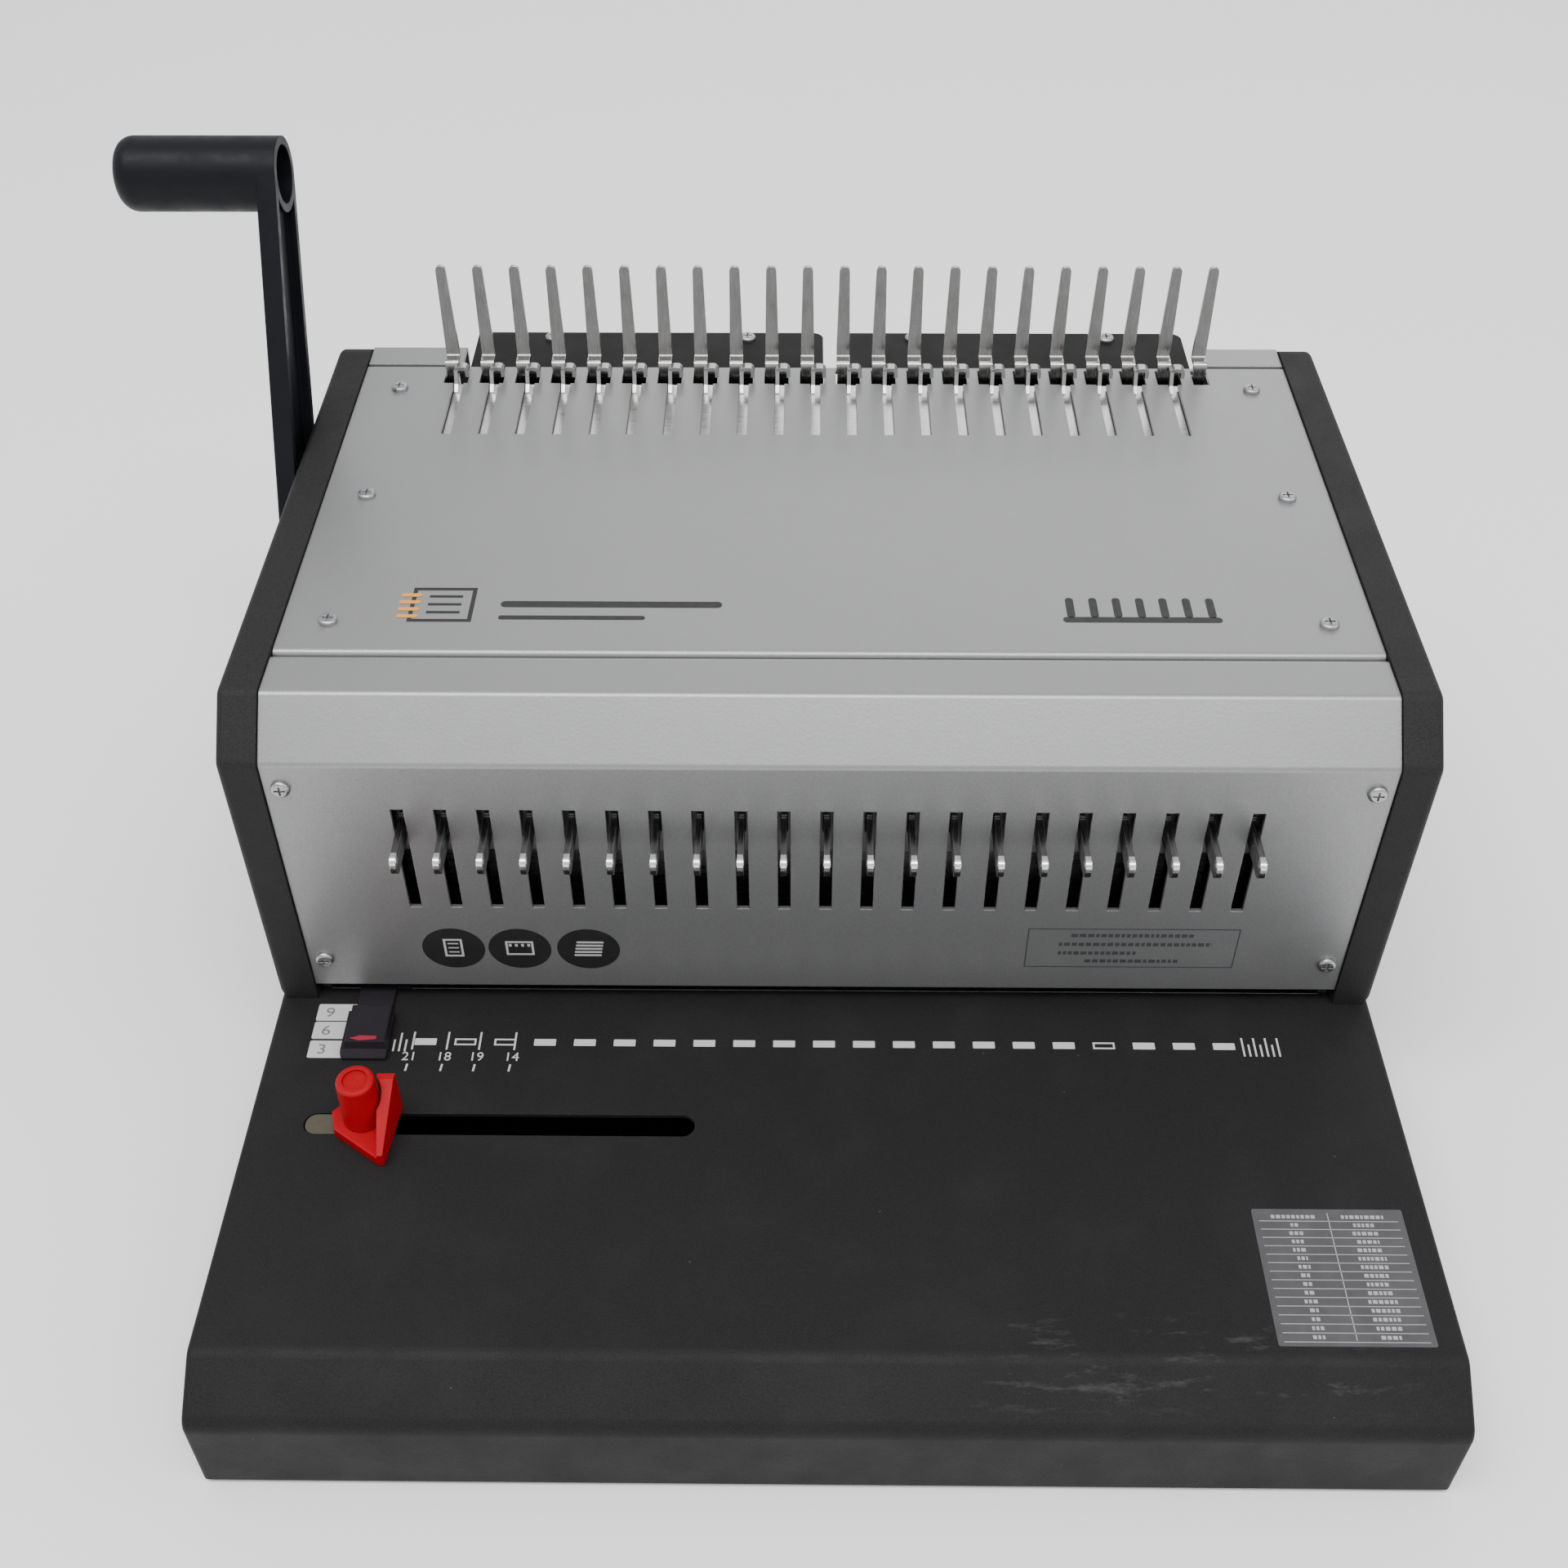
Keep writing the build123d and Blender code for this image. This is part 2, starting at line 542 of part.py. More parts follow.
def pull_tab(x):
    """A steel strip on edge that couples one punch to the beam; pulled out, that punch stays up."""
    z1 = TAB_Z0 + TAB_H
    strip = block(x - TAB_T / 2, x + TAB_T / 2, TAB_TIP_Y, TAB_REAR_Y, TAB_Z0, z1)
    strip = fillet(edges_at(strip, [(TAB_TIP_Y, TAB_Z0)]), 4.2)
    strip = fillet(edges_at(strip, [(TAB_TIP_Y, z1)]), 2.2)
    bead = rod_x(x - TAB_T / 2 - 0.3, x + TAB_T / 2 + 0.3, TAB_TIP_Y + 2.1, z1 - 1.9, 1.6)
    step = block(x - TAB_T / 2, x + TAB_T / 2, TAB_STEP_Y0, TAB_STEP_Y1, z1 - 1, z1 + 1.2)
    return strip + step + fillet(bead.edges(), 0.5)


# ---- Drive ---------------------------------------------------------------------------------------
def drive_shaft():
    shaft = rod_x(LEVER_X0, 184.3, SHAFT_Y, SHAFT_Z, SHAFT_R)
    return shaft - rod_x(LEVER_X0 - 1, LEVER_X0 + 14, SHAFT_Y, SHAFT_Z, 3.02)


def shaft_bushes():
    bushes = []
    for side in (-1, 1):
        bush = rod_x(side * 178.5, side * FRAME_X1, SHAFT_Y, SHAFT_Z, 10)
        bush += rod_x(side * FRAME_X1, side * 186.5, SHAFT_Y, SHAFT_Z, 13)
        bushes.append(bush - rod_x(side * 178, side * 187, SHAFT_Y, SHAFT_Z, SHAFT_R + 0.05))
    return Compound(children=bushes)


def gear_pair(teeth, module, span, gap_angle):
    return Compound(children=[pinion(teeth, module, *sorted((s * span[0], s * span[1])), gap_angle) for s in (-1, 1)])


def lever_hull(shrink):
    """The lever's side view: a hull round the hub and the grip."""
    hub = Pos(SHAFT_Y, SHAFT_Z) * Circle(HUB_R - shrink)
    head = Pos(GRIP_Y, GRIP_Z) * Circle(GRIP_R - shrink)
    return make_hull(hub.edges() + head.edges())


def handle_lever():
    """Moulded lever: a flat arm with a pocketed inner face and a hollow grip pointing outwards."""
    arm = extrude(Plane.YZ.offset(LEVER_X0) * lever_hull(0), LEVER_X1 - LEVER_X0)
    pocket = extrude(Plane.YZ.offset(LEVER_X1 - 3.5) * lever_hull(3.2), 5)
    keep = rod_x(LEVER_X0, LEVER_X1, SHAFT_Y, SHAFT_Z, HUB_R - 4) + rod_x(LEVER_X0, LEVER_X1, GRIP_Y, GRIP_Z, GRIP_R)
    arm -= pocket - keep
    arm = fillet(arm.edges().group_by(Axis.X)[0], 1.2)
    grip = rod_x(GRIP_END_X, LEVER_X0 + 2, GRIP_Y, GRIP_Z, GRIP_R)
    grip = fillet(grip.edges().group_by(Axis.X)[0], 6.5)
    lever = arm + grip + rod_x(LEVER_X1, -199.6, SHAFT_Y, SHAFT_Z, SHAFT_R + 3)
    lever -= rod_x(GRIP_END_X + 4, LEVER_X1 + 1, GRIP_Y, GRIP_Z, GRIP_R - 3)
    return lever - rod_x(LEVER_X0 - 1, -199, SHAFT_Y, SHAFT_Z, SHAFT_R + 0.02)


def hub_screw():
    head = rod_x(LEVER_X0 - 3.2, LEVER_X0, SHAFT_Y, SHAFT_Z, 9)
    head = fillet(head.edges().group_by(Axis.X)[0], 1.4)
    socket = Pos(LEVER_X0 - 2.4, SHAFT_Y, SHAFT_Z) * Rot(0, 90, 0) * extrude(RegularPolygon(2.9, 6), 2.4, both=True)
    return head - socket + rod_x(LEVER_X0, LEVER_X0 + 12, SHAFT_Y, SHAFT_Z, 3)


# ---- Comb opener ---------------------------------------------------------------------------------
def hook_carriage():
    return block(-PLATE_HALF, PLATE_HALF, PLATE_Y0, PLATE_Y1, PLATE_Z0, PLATE_Z1)


def comb_hooks():
    """21 bent steel hooks that pull the comb's rings open; each rises through its slot."""
    under = HOOK_TOP - HOOK_T
    stem = [
        (169.8, PLATE_Z1),
        (172.6, TOP_Z),
        (HOOK_Y0, under),
        (HOOK_Y1, under),
        (177.2, TOP_Z + 1),
        (174.8, PLATE_Z1),
    ]
    curl = [
        (0, under - 1),
        (0, HOOK_TOP),
        (HOOK_W, HOOK_TOP),
        (HOOK_W, HOOK_TIP_Z),
        (HOOK_W - HOOK_T, HOOK_TIP_Z),
        (HOOK_W - HOOK_T, under),
        (HOOK_T, under),
        (HOOK_T, under - 1),
    ]
    head = prism_y(curl, HOOK_Y0, HOOK_Y1)
    head = fillet([e for e in head.edges().filter_by(Axis.Y) if e.center().Z > HOOK_TOP - 0.1], 2.2)
    inside = [e for e in head.edges().filter_by(Axis.Y) if abs(e.center().Z - under) < 0.1]
    head = fillet(inside, 0.8)
    hook = prism_x(stem, 0, HOOK_T) + head
    return Compound(children=[Pos(x + HOOK_LEFT, 0, 0) * hook for x in FINGER_XS[:-1]])


def hook_racks():
    """Toothed bars hung under the hook plate, driven by the shaft's larger pinions."""
    pitch_z = SHAFT_Z + HOOK_TEETH * HOOK_MODULE / 2
    racks = []
    for side in (-1, 1):
        edge = [(SHAFT_Y + a, pitch_z - h) for a, h in rack_teeth(HOOK_MODULE, -1, 7)]
        front, rear = edge[0][0] - 2, edge[-1][0] + 2
        top = pitch_z + 9
        outline = [(front, top), (front, edge[0][1])] + edge + [(rear, edge[-1][1]), (rear, top)]
        x0, x1 = sorted((side * HOOK_GEAR_X[0], side * HOOK_GEAR_X[1]))
        web = block(side * 148, side * 152, PLATE_Y0 + 4, rear, top, PLATE_Z0)
        foot = block(x0, x1, PLATE_Y0 + 4, rear, PLATE_Z0 - 3, PLATE_Z0)
        racks.append(prism_x(outline, x0, x1) + web + foot)
    return Compound(children=racks)


def carriage_rails():
    """Stepped nylon rails on the side frames; the hook plate slides on them."""
    rails = []
    for side in (-1, 1):
        rail = block(side * RAIL_X0, side * FRAME_X0, RAIL_Y0, RAIL_Y1, RAIL_Z0, RAIL_Z1)
        rail += block(side * RAIL_X0, side * RAIL_X1, RAIL_Y0, RAIL_Y1, RAIL_Z1, PLATE_Z0 - 0.3)
        rail += block(side * (PLATE_HALF + 0.4), side * RAIL_X1, RAIL_Y0, RAIL_Y1, RAIL_Z1, RAIL_TOP)
        for x, y in TOP_SCREWS:
            if x * side > 0:
                rail -= rod_z(x, y, 170, 180, SCREW_R + 0.4)
        rails.append(rail)
    return Compound(children=rails)


def finger_bar():
    return block(-FRAME_X0, FRAME_X0, FINGER_LEG_Y + FINGER_T, BAR_Y1, 150, 172)


def comb_fingers():
    """22 bent fingers: up through the notch, back over the cover's edge, and up again to a rounded tip."""
    path = [
        (FINGER_LEG_Y, 152),
        (FINGER_LEG_Y, FINGER_LEDGE_Z),
        (FINGER_FACE_Y, FINGER_LEDGE_Z),
        (FINGER_FACE_Y - FINGER_LEAN, FINGER_TIP_Z + 1),
    ]
    strip = folded_sheet(path, FINGER_T, -4, 4, 0.6)
    root, tip, leg = FINGER_ROOT_W / 2, FINGER_TIP_W / 2, FINGER_LEG_W / 2
    neck_z, head_z = FINGER_LEDGE_Z - 4, FINGER_LEDGE_Z + 3
    outline = [
        (-leg, 150),
        (leg, 150),
        (leg, neck_z),
        (root, neck_z + 1),
        (root, head_z),
        (tip, FINGER_TIP_Z),
        (-tip, FINGER_TIP_Z),
        (-root, head_z),
        (-root, neck_z + 1),
        (-leg, neck_z),
    ]
    face = Face(Wire.make_polygon([(x, 170, z) for x, z in outline]))
    finger = (Part() + Solid.extrude(face, Vector(0, 30, 0))) & strip
    corners = [e for e in finger.edges().filter_by(Axis.Y) if e.center().Z > FINGER_TIP_Z - 0.1]
    finger = fillet(corners, tip - 0.05)
    return Compound(children=[Pos(x + FINGER_SHIFT, 0, 0) * finger for x in FINGER_XS])


def comb_shelf(x0, x1):
    """Black steel ledge behind the fingers that carries the comb's spine."""
    shelf = block(x0, x1, SHELF_Y0, SHELF_Y1, SHELF_Z - SHELF_T, SHELF_Z)
    outer = ShapeList(e for e in shelf.edges().filter_by(Axis.Z) if e.center().Y > SHELF_Y1 - 1).sort_by(Axis.X)
    shelf = fillet(outer[:1], 1.5)
    outer = ShapeList(e for e in shelf.edges().filter_by(Axis.Z) if e.center().X > x1 - 0.1).sort_by(Axis.Y)
    shelf = fillet(outer[-1:], 4.5)
    shelf += block(x0, x1, SHELF_Y0, SHELF_Y0 + SHELF_T, 156, SHELF_Z - SHELF_T)
    for x in (x0 + SHELF_SCREW_INSET, x1 - SHELF_SCREW_INSET):
        shelf -= rod_z(x, SHELF_SCREW_Y, 170, 180, SCREW_R + 0.02)
    return shelf


def cover_screws():
    long_screw, short_screw = pan_screw(6), pan_screw(4)
    screws = [Pos(x, y, TOP_Z) * long_screw for x, y in TOP_SCREWS]
    screws += [Pos(x, FRONT_Y, z) * Rot(90, 0, 0) * short_screw for x, z in FRONT_SCREWS]
    for x0, x1 in SHELF_SPANS.values():
        for x in (x0 + SHELF_SCREW_INSET, x1 - SHELF_SCREW_INSET):
            screws.append(Pos(x, SHELF_SCREW_Y, SHELF_Z) * short_screw)
    return Compound(children=screws)


# ---- Paper stops ---------------------------------------------------------------------------------
def margin_knob():
    """Sliding margin selector; its tongue runs back under the front cover."""
    gap = TABLE_Z + 0.3
    side_view = [
        (KNOB_Y1, gap),
        (KNOB_Y0, gap),
        (KNOB_Y0, gap + 1),
        (KNOB_Y0 + 2.5, gap + 3.3),
        (KNOB_Y0 + 3.4, KNOB_TOP_Z),
        (KNOB_Y1, KNOB_TOP_Z),
    ]
    knob = prism_x(side_view, KNOB_X0, KNOB_X1)
    knob = fillet([e for e in knob.edges().filter_by(Axis.Y) if e.center().Z > KNOB_TOP_Z - 0.1], 0.8)
    step = block(KNOB_STEP_X0, KNOB_STEP_X1, KNOB_Y0, KNOB_Y1, gap, gap + 2.9)
    step = fillet(step.edges().filter_by(Axis.Z).group_by(Axis.Y)[0], 1.2)
    step &= prism_x(side_view, KNOB_STEP_X0, KNOB_STEP_X1)
    apron = block(-170, -157, KNOB_Y1 - 1, -31, gap, gap + 1.5)
    tongue = block(-160, -152, -32, KNOB_PIN_Y + 3.5, gap, gap + 1.5)
    pin = rod_z(KNOB_PIN_X, KNOB_PIN_Y, gap + 1, LINK_PIN_TOP, LINK_PIN_R)
    stem = block(-164, -160, -62, -54, 44, gap + 1)
    foot = block(-168, -156, -62, -54, 43, 45.6)
    return knob + step + apron + tongue + pin + stem + foot


def back_stop():
    """Bar that the paper's edge meets, with an arm to the margin lever."""
    bar = block(-150, 150, STOP_Y0, STOP_Y1, TABLE_Z + 0.3, GUIDE_Z0 - 0.4)
    arm = prism_z(
        [
            (-150, STOP_Y1),
            (-153.5, STOP_Y1),
            (-153.5, -19),
            (-165.5, -19),
            (-165.5, -8.5),
            (-171.5, -8.5),
            (-171.5, -23),
            (-150, -23),
        ],
        50.1,
        51.6,
    )
    return bar + arm + rod_z(STOP_PIN_X, STOP_PIN_Y, 51, LINK_PIN_TOP, LINK_PIN_R)


def margin_lever():
    """Small swinging link that turns the knob's travel into the stop's shorter one."""
    reach = KNOB_PIN_X - LEVER_PIVOT_X
    bar = block(-4.5, reach + 6.5, -4.5, 4.5, 0, 1.5)
    bar = fillet(bar.edges().filter_by(Axis.Z), 4.4)
    slot_half = LINK_PIN_R + 0.9
    for arm in (STOP_PIN_X - LEVER_PIVOT_X, reach):
        far = hypot(arm, arm / reach * KNOB_TRAVEL / 2)
        slot = block(arm - slot_half, far + slot_half, -slot_half, slot_half, -1, 3)
        bar -= fillet(slot.edges().filter_by(Axis.Z), slot_half - 0.02)
    bar -= rod_z(0, 0, -1, 3, PIVOT_R + 0.08)
    angle = degrees(atan2(KNOB_PIN_Y - LEVER_PIVOT_Y, reach))
    return Pos(LEVER_PIVOT_X, LEVER_PIVOT_Y, LINK_Z) * Rot(0, 0, angle) * bar


def edge_guide():
    """Red side guide: a pointed foot, and a tapered fin whose right face the paper's edge touches."""
    low = TABLE_Z + 0.3
    foot_top = low + 4
    foot = prism_z(
        [
            (-169.5, -90),
            (-167.5, -97.5),
            (FIN_FRONT_X[0], FIN_FRONT_Y),
            (FIN_FRONT_X[1], FIN_FRONT_Y),
            (FIN_REAR_X[1], FIN_REAR_Y),
            (-165, FIN_REAR_Y),
        ],
        low,
        foot_top,
    )
    foot = fillet(foot.edges().group_by(Axis.Z)[-1], 0.6)
    fin = prism_z(
        [
            (FIN_REAR_X[0], FIN_REAR_Y),
            (FIN_FRONT_X[0], FIN_FRONT_Y),
            (FIN_FRONT_X[1], FIN_FRONT_Y),
            (FIN_REAR_X[1], FIN_REAR_Y),
        ],
        low,
        FIN_TOP,
    )
    fin &= prism_x(
        [
            (FIN_REAR_Y, low),
            (FIN_REAR_Y, FIN_TOP),
            (FIN_REAR_Y - 2.5, FIN_TOP),
            (FIN_FRONT_Y, low + 5.5),
            (FIN_FRONT_Y, low),
        ],
        FIN_REAR_X[0] - 1,
        FIN_REAR_X[1] + 1,
    )
    fin -= rod_z(GUIDE_KNOB_X, GUIDE_SLOT_Y, foot_top, FIN_TOP + 1, GUIDE_KNOB_R + 1.2)
    guide = foot + fin
    return guide - rod_z(GUIDE_KNOB_X, GUIDE_SLOT_Y, 40, 60, 3.05)


def guide_slide():
    """Nylon shoe that keeps the edge guide in its slot."""
    shoe = block(-179.0, -152.5, GUIDE_SLOT_Y0 + 0.35, GUIDE_SLOT_Y1 - 0.35, 45, 47.7)
    shoe = fillet(shoe.edges().filter_by(Axis.Z), 3.9)
    shoe += block(-176, -153, GUIDE_SLOT_Y0 - 3, GUIDE_SLOT_Y1 + 3, 43, 46.0)
    return shoe - rod_z(GUIDE_KNOB_X, GUIDE_SLOT_Y, 40, 60, 3.4)


def guide_knob():
    """Red clamping knob of the edge guide, with its screw."""
    low = TABLE_Z + 4.6
    centre = Pos(GUIDE_KNOB_X, GUIDE_SLOT_Y, (low + GUIDE_KNOB_TOP) / 2)
    knob = centre * Cone(GUIDE_KNOB_R + 0.5, GUIDE_KNOB_R, GUIDE_KNOB_TOP - low)
    knob = fillet(knob.edges().group_by(Axis.Z)[-1], 1.2)
    knob -= rod_z(GUIDE_KNOB_X, GUIDE_SLOT_Y, GUIDE_KNOB_TOP - 1, GUIDE_KNOB_TOP + 1, 4.2)
    screw = rod_z(GUIDE_KNOB_X, GUIDE_SLOT_Y, 41, low + 1, 3) + rod_z(GUIDE_KNOB_X, GUIDE_SLOT_Y, 39.5, 42.6, 5.5)
    return knob + screw


# ---- Everything ----------------------------------------------------------------------------------
def all_parts():
    parts = {
        "base_platform": base_platform(),
        "bottom_plate": bottom_plate(),
        "rubber_feet": rubber_feet(),
        "side_cap_left": side_cap_left(),
        "side_cap_right": side_cap(),
        "front_cover": front_cover(),
        "top_cover": top_cover(),
        "rear_cover": rear_cover(),
        "frame_plate_left": mirrored(frame_plate_right()),
        "frame_plate_right": frame_plate_right(),
        "lower_die": lower_die(),
        "pin_guide_block": pin_guide_block(),
        "guide_posts": guide_posts(),
        "shaft_bushes": shaft_bushes(),
        "carriage_rails": carriage_rails(),
        "finger_bar": finger_bar(),
        "comb_fingers": comb_fingers(),
        "cover_screws": cover_screws(),
        "punch_carriage": punch_carriage(),
        "punch_pins": punch_pins(),
        "punch_racks": punch_racks(),
        "return_springs": return_springs(),
        "drive_shaft": drive_shaft(),
        "punch_pinions": gear_pair(PUNCH_TEETH, PUNCH_MODULE, PUNCH_GEAR_X, pi),
        "hook_pinions": gear_pair(HOOK_TEETH, HOOK_MODULE, HOOK_GEAR_X, pi / 2),
        "handle_lever": handle_lever(),
        "hub_screw": hub_screw(),
        "hook_carriage": hook_carriage(),
        "comb_hooks": comb_hooks(),
        "hook_racks": hook_racks(),
        "margin_knob": margin_knob(),
        "back_stop": back_stop(),
        "margin_lever": margin_lever(),
        "edge_guide": edge_guide(),
        "guide_slide": guide_slide(),
        "guide_knob": guide_knob(),
        "chip_drawer": chip_drawer(),
    }
    for name, (x0, x1) in SHELF_SPANS.items():
        parts[name] = comb_shelf(x0, x1)
    for i, x in enumerate(HOLE_XS, start=1):
        parts[f"pull_tab_{i:02d}"] = pull_tab(x)
    return parts


os.makedirs("parts", exist_ok=True)
for name, part in all_parts().items():
    export_step(part, f"parts/{name}.step")
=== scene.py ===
import json
import math
import random

import bmesh
import bpy
from mathutils import Matrix, Vector


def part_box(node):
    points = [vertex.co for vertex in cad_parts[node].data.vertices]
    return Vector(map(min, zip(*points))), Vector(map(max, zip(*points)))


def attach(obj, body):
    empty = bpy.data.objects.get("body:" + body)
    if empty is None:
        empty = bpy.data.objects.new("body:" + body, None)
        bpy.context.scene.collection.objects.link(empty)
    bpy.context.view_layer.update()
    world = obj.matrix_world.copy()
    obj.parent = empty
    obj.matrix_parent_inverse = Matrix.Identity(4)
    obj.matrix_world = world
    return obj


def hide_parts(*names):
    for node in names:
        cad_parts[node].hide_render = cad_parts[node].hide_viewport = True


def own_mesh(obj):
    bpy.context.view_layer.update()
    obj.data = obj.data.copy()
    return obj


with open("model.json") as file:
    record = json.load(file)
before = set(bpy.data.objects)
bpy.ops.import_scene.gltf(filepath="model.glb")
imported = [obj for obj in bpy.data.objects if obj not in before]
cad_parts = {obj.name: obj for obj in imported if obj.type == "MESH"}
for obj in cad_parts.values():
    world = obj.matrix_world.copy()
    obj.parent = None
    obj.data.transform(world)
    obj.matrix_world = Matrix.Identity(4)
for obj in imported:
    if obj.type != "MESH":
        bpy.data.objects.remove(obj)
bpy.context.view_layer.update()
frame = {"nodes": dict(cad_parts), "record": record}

# A comb binding machine: finishes for the CAD nodes, printed marks and labels, light and camera.
# Lengths are metres; values given in millimetres carry the MM factor.
MM = 0.001


# ---- Places, read from the frame -----------------------------------------------------------------
def middle_x(node):
    low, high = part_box(node)
    return (low.x + high.x) / 2


HOLE_XS = [middle_x(f"pull_tab_{i:02d}") for i in range(1, 22)]
TABLE_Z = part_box("lower_die")[1].z
FRONT_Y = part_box("front_cover")[0].y
TOP_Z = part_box("top_cover")[1].z
KNOB_LOW, KNOB_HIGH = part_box("margin_knob")

# A plane for flat prints: columns are its right, its up and the way it faces.
INK_GAP = 0.02 * MM
INK_T = 0.05 * MM
LAYER_STEP = 1.4  # how far a print on another print is raised, in ink thicknesses
CAP_HEIGHT = 0.72  # height of a numeral as a share of its font size


def plane(origin, right, up):
    right, up = Vector(right), Vector(up)
    out = right.cross(up)
    rotation = Matrix((right, up, out)).transposed().to_4x4()
    return Matrix.Translation(Vector(origin) + out * INK_GAP) @ rotation


TABLE = plane((0, 0, TABLE_Z), (1, 0, 0), (0, 1, 0))
FRONT = plane((0, FRONT_Y, 0), (1, 0, 0), (0, 0, 1))
TOP = plane((0, 0, TOP_Z), (1, 0, 0), (0, 1, 0))


# ---- Material building ---------------------------------------------------------------------------
class Finish:
    """A procedural material, in object coordinates, so that its grain has a real size in metres."""

    def __init__(self, name, roughness, metallic=0.0):
        self.material = bpy.data.materials.new(name)
        self.material.use_nodes = True
        self.tree = self.material.node_tree
        self.shader = self.tree.nodes["Principled BSDF"]
        self.set("Roughness", roughness)
        self.set("Metallic", metallic)
        self.coords = self.add("ShaderNodeTexCoord").outputs["Object"]

    def add(self, kind, inputs=None, **settings):
        node = self.tree.nodes.new(kind)
        for key, value in settings.items():
            setattr(node, key, value)
        for key, value in (inputs or {}).items():
            self.feed(node.inputs[key], value)
        return node

    def feed(self, socket, value):
        if isinstance(value, bpy.types.NodeSocket):
            self.tree.links.new(value, socket)
        else:
            socket.default_value = value

    def set(self, key, value):
        self.feed(self.shader.inputs[key], value)

    def stretched(self, stretch):
        """The coordinates, squeezed along some axes so that a noise turns into grain."""
        inputs = {"Vector": self.coords, "Scale": stretch}
        return self.add("ShaderNodeMapping", inputs).outputs["Vector"]

    def ramp(self, value, low, high, to_low=0.0, to_high=1.0):
        inputs = {"Value": value, "From Min": low, "From Max": high}
        inputs.update({"To Min": to_low, "To Max": to_high})
        return self.add("ShaderNodeMapRange", inputs).outputs["Result"]

    def noise(self, size, low=0.3, high=0.7, stretch=None, detail=4.0, rough=0.55):
        """Noise from 0 to 1 whose features are about size metres across."""
        vector = self.stretched(stretch) if stretch else self.coords
        inputs = {"Vector": vector, "Scale": 1 / size, "Detail": detail, "Roughness": rough}
        return self.ramp(self.add("ShaderNodeTexNoise", inputs).outputs["Fac"], low, high)

    def specks(self, spacing, radius, share):
        """Sparse round specks, spacing and radius in metres; share of the cells hold one."""
        inputs = {"Vector": self.coords, "Scale": 1 / spacing, "Randomness": 1.0}
        cells = self.add("ShaderNodeTexVoronoi", inputs)
        dot = self.ramp(cells.outputs["Distance"], radius / spacing, radius / spacing * 0.5)
        tone = self.add("ShaderNodeSeparateColor", {"Color": cells.outputs["Color"]}).outputs["Red"]
        return self.maths("MULTIPLY", dot, self.ramp(tone, share, share * 0.98))

    def scratches(self, length, width, low, angle=0.0):
        """Fine straight marks, lying at an angle in the XY plane."""
        inputs = {"Vector": self.coords, "Rotation": (angle, angle * 0.7, angle)}
        turned = self.add("ShaderNodeMapping", inputs).outputs["Vector"]
        inputs = {"Vector": turned, "Scale": (1 / length, 1 / width, 1 / width)}
        squeezed = self.add("ShaderNodeMapping", inputs).outputs["Vector"]
        inputs = {"Vector": squeezed, "Scale": 1.0, "Detail": 2.0, "Roughness": 0.6}
        return self.ramp(self.add("ShaderNodeTexNoise", inputs).outputs["Fac"], low, low + 0.08)

    def maths(self, operation, a, b):
        node = self.add("ShaderNodeMath", operation=operation)
        self.feed(node.inputs[0], a)
        self.feed(node.inputs[1], b)
        return node.outputs["Value"]

    def mix(self, factor, a, b):
        node = self.add("ShaderNodeMix", data_type="RGBA")
        self.feed(node.inputs["Factor"], factor)
        self.feed(node.inputs[6], (*a, 1.0) if isinstance(a, tuple) else a)
        self.feed(node.inputs[7], (*b, 1.0) if isinstance(b, tuple) else b)
        return node.outputs[2]

    def tinted(self, colour_now, mask, strength, colour):
        """The colour so far, moved towards another colour by strength where the mask is 1."""
        return self.mix(self.maths("MULTIPLY", mask, strength), colour_now, colour)

    def inside(self, axis, low, high, soft):
        """1 where a coordinate lies between low and high, fading over soft."""
        value = self.add("ShaderNodeSeparateXYZ", {"Vector": self.coords}).outputs[axis]
        above = self.ramp(value, low - soft, low)
        below = self.ramp(value, high + soft, high)
        return self.maths("MULTIPLY", above, below)

    def edges(self, radius):
        """The surface normal with its sharp edges rounded over a radius."""
        return self.add("ShaderNodeBevel", {"Radius": radius}, samples=4).outputs["Normal"]

    def edges_for_wear_and_highlights(self, radius, low=0.02, high=0.30):
        """About 1 along sharp edges and 0 on flat faces."""
        true_normal = self.add("ShaderNodeNewGeometry").outputs["Normal"]
        inputs = {0: self.edges(radius), 1: true_normal}
        dot = self.add("ShaderNodeVectorMath", inputs, operation="DOT_PRODUCT")
        return self.ramp(dot.outputs["Value"], 1 - low, 1 - high)

    def bump(self, height, distance, normal=None):
        inputs = {"Height": height, "Distance": distance, "Strength": 1.0}
        if normal is not None:
            inputs["Normal"] = normal
        return self.add("ShaderNodeBump", inputs).outputs["Normal"]


def shade(colour, factor):
    return tuple(min(1.0, c * factor) for c in colour)


# The patch of the front bend that hands and paper have scuffed, in metres.
SCUFFED_X, SCUFFED_Y = (0.055, 0.165), (-0.188, -0.168)


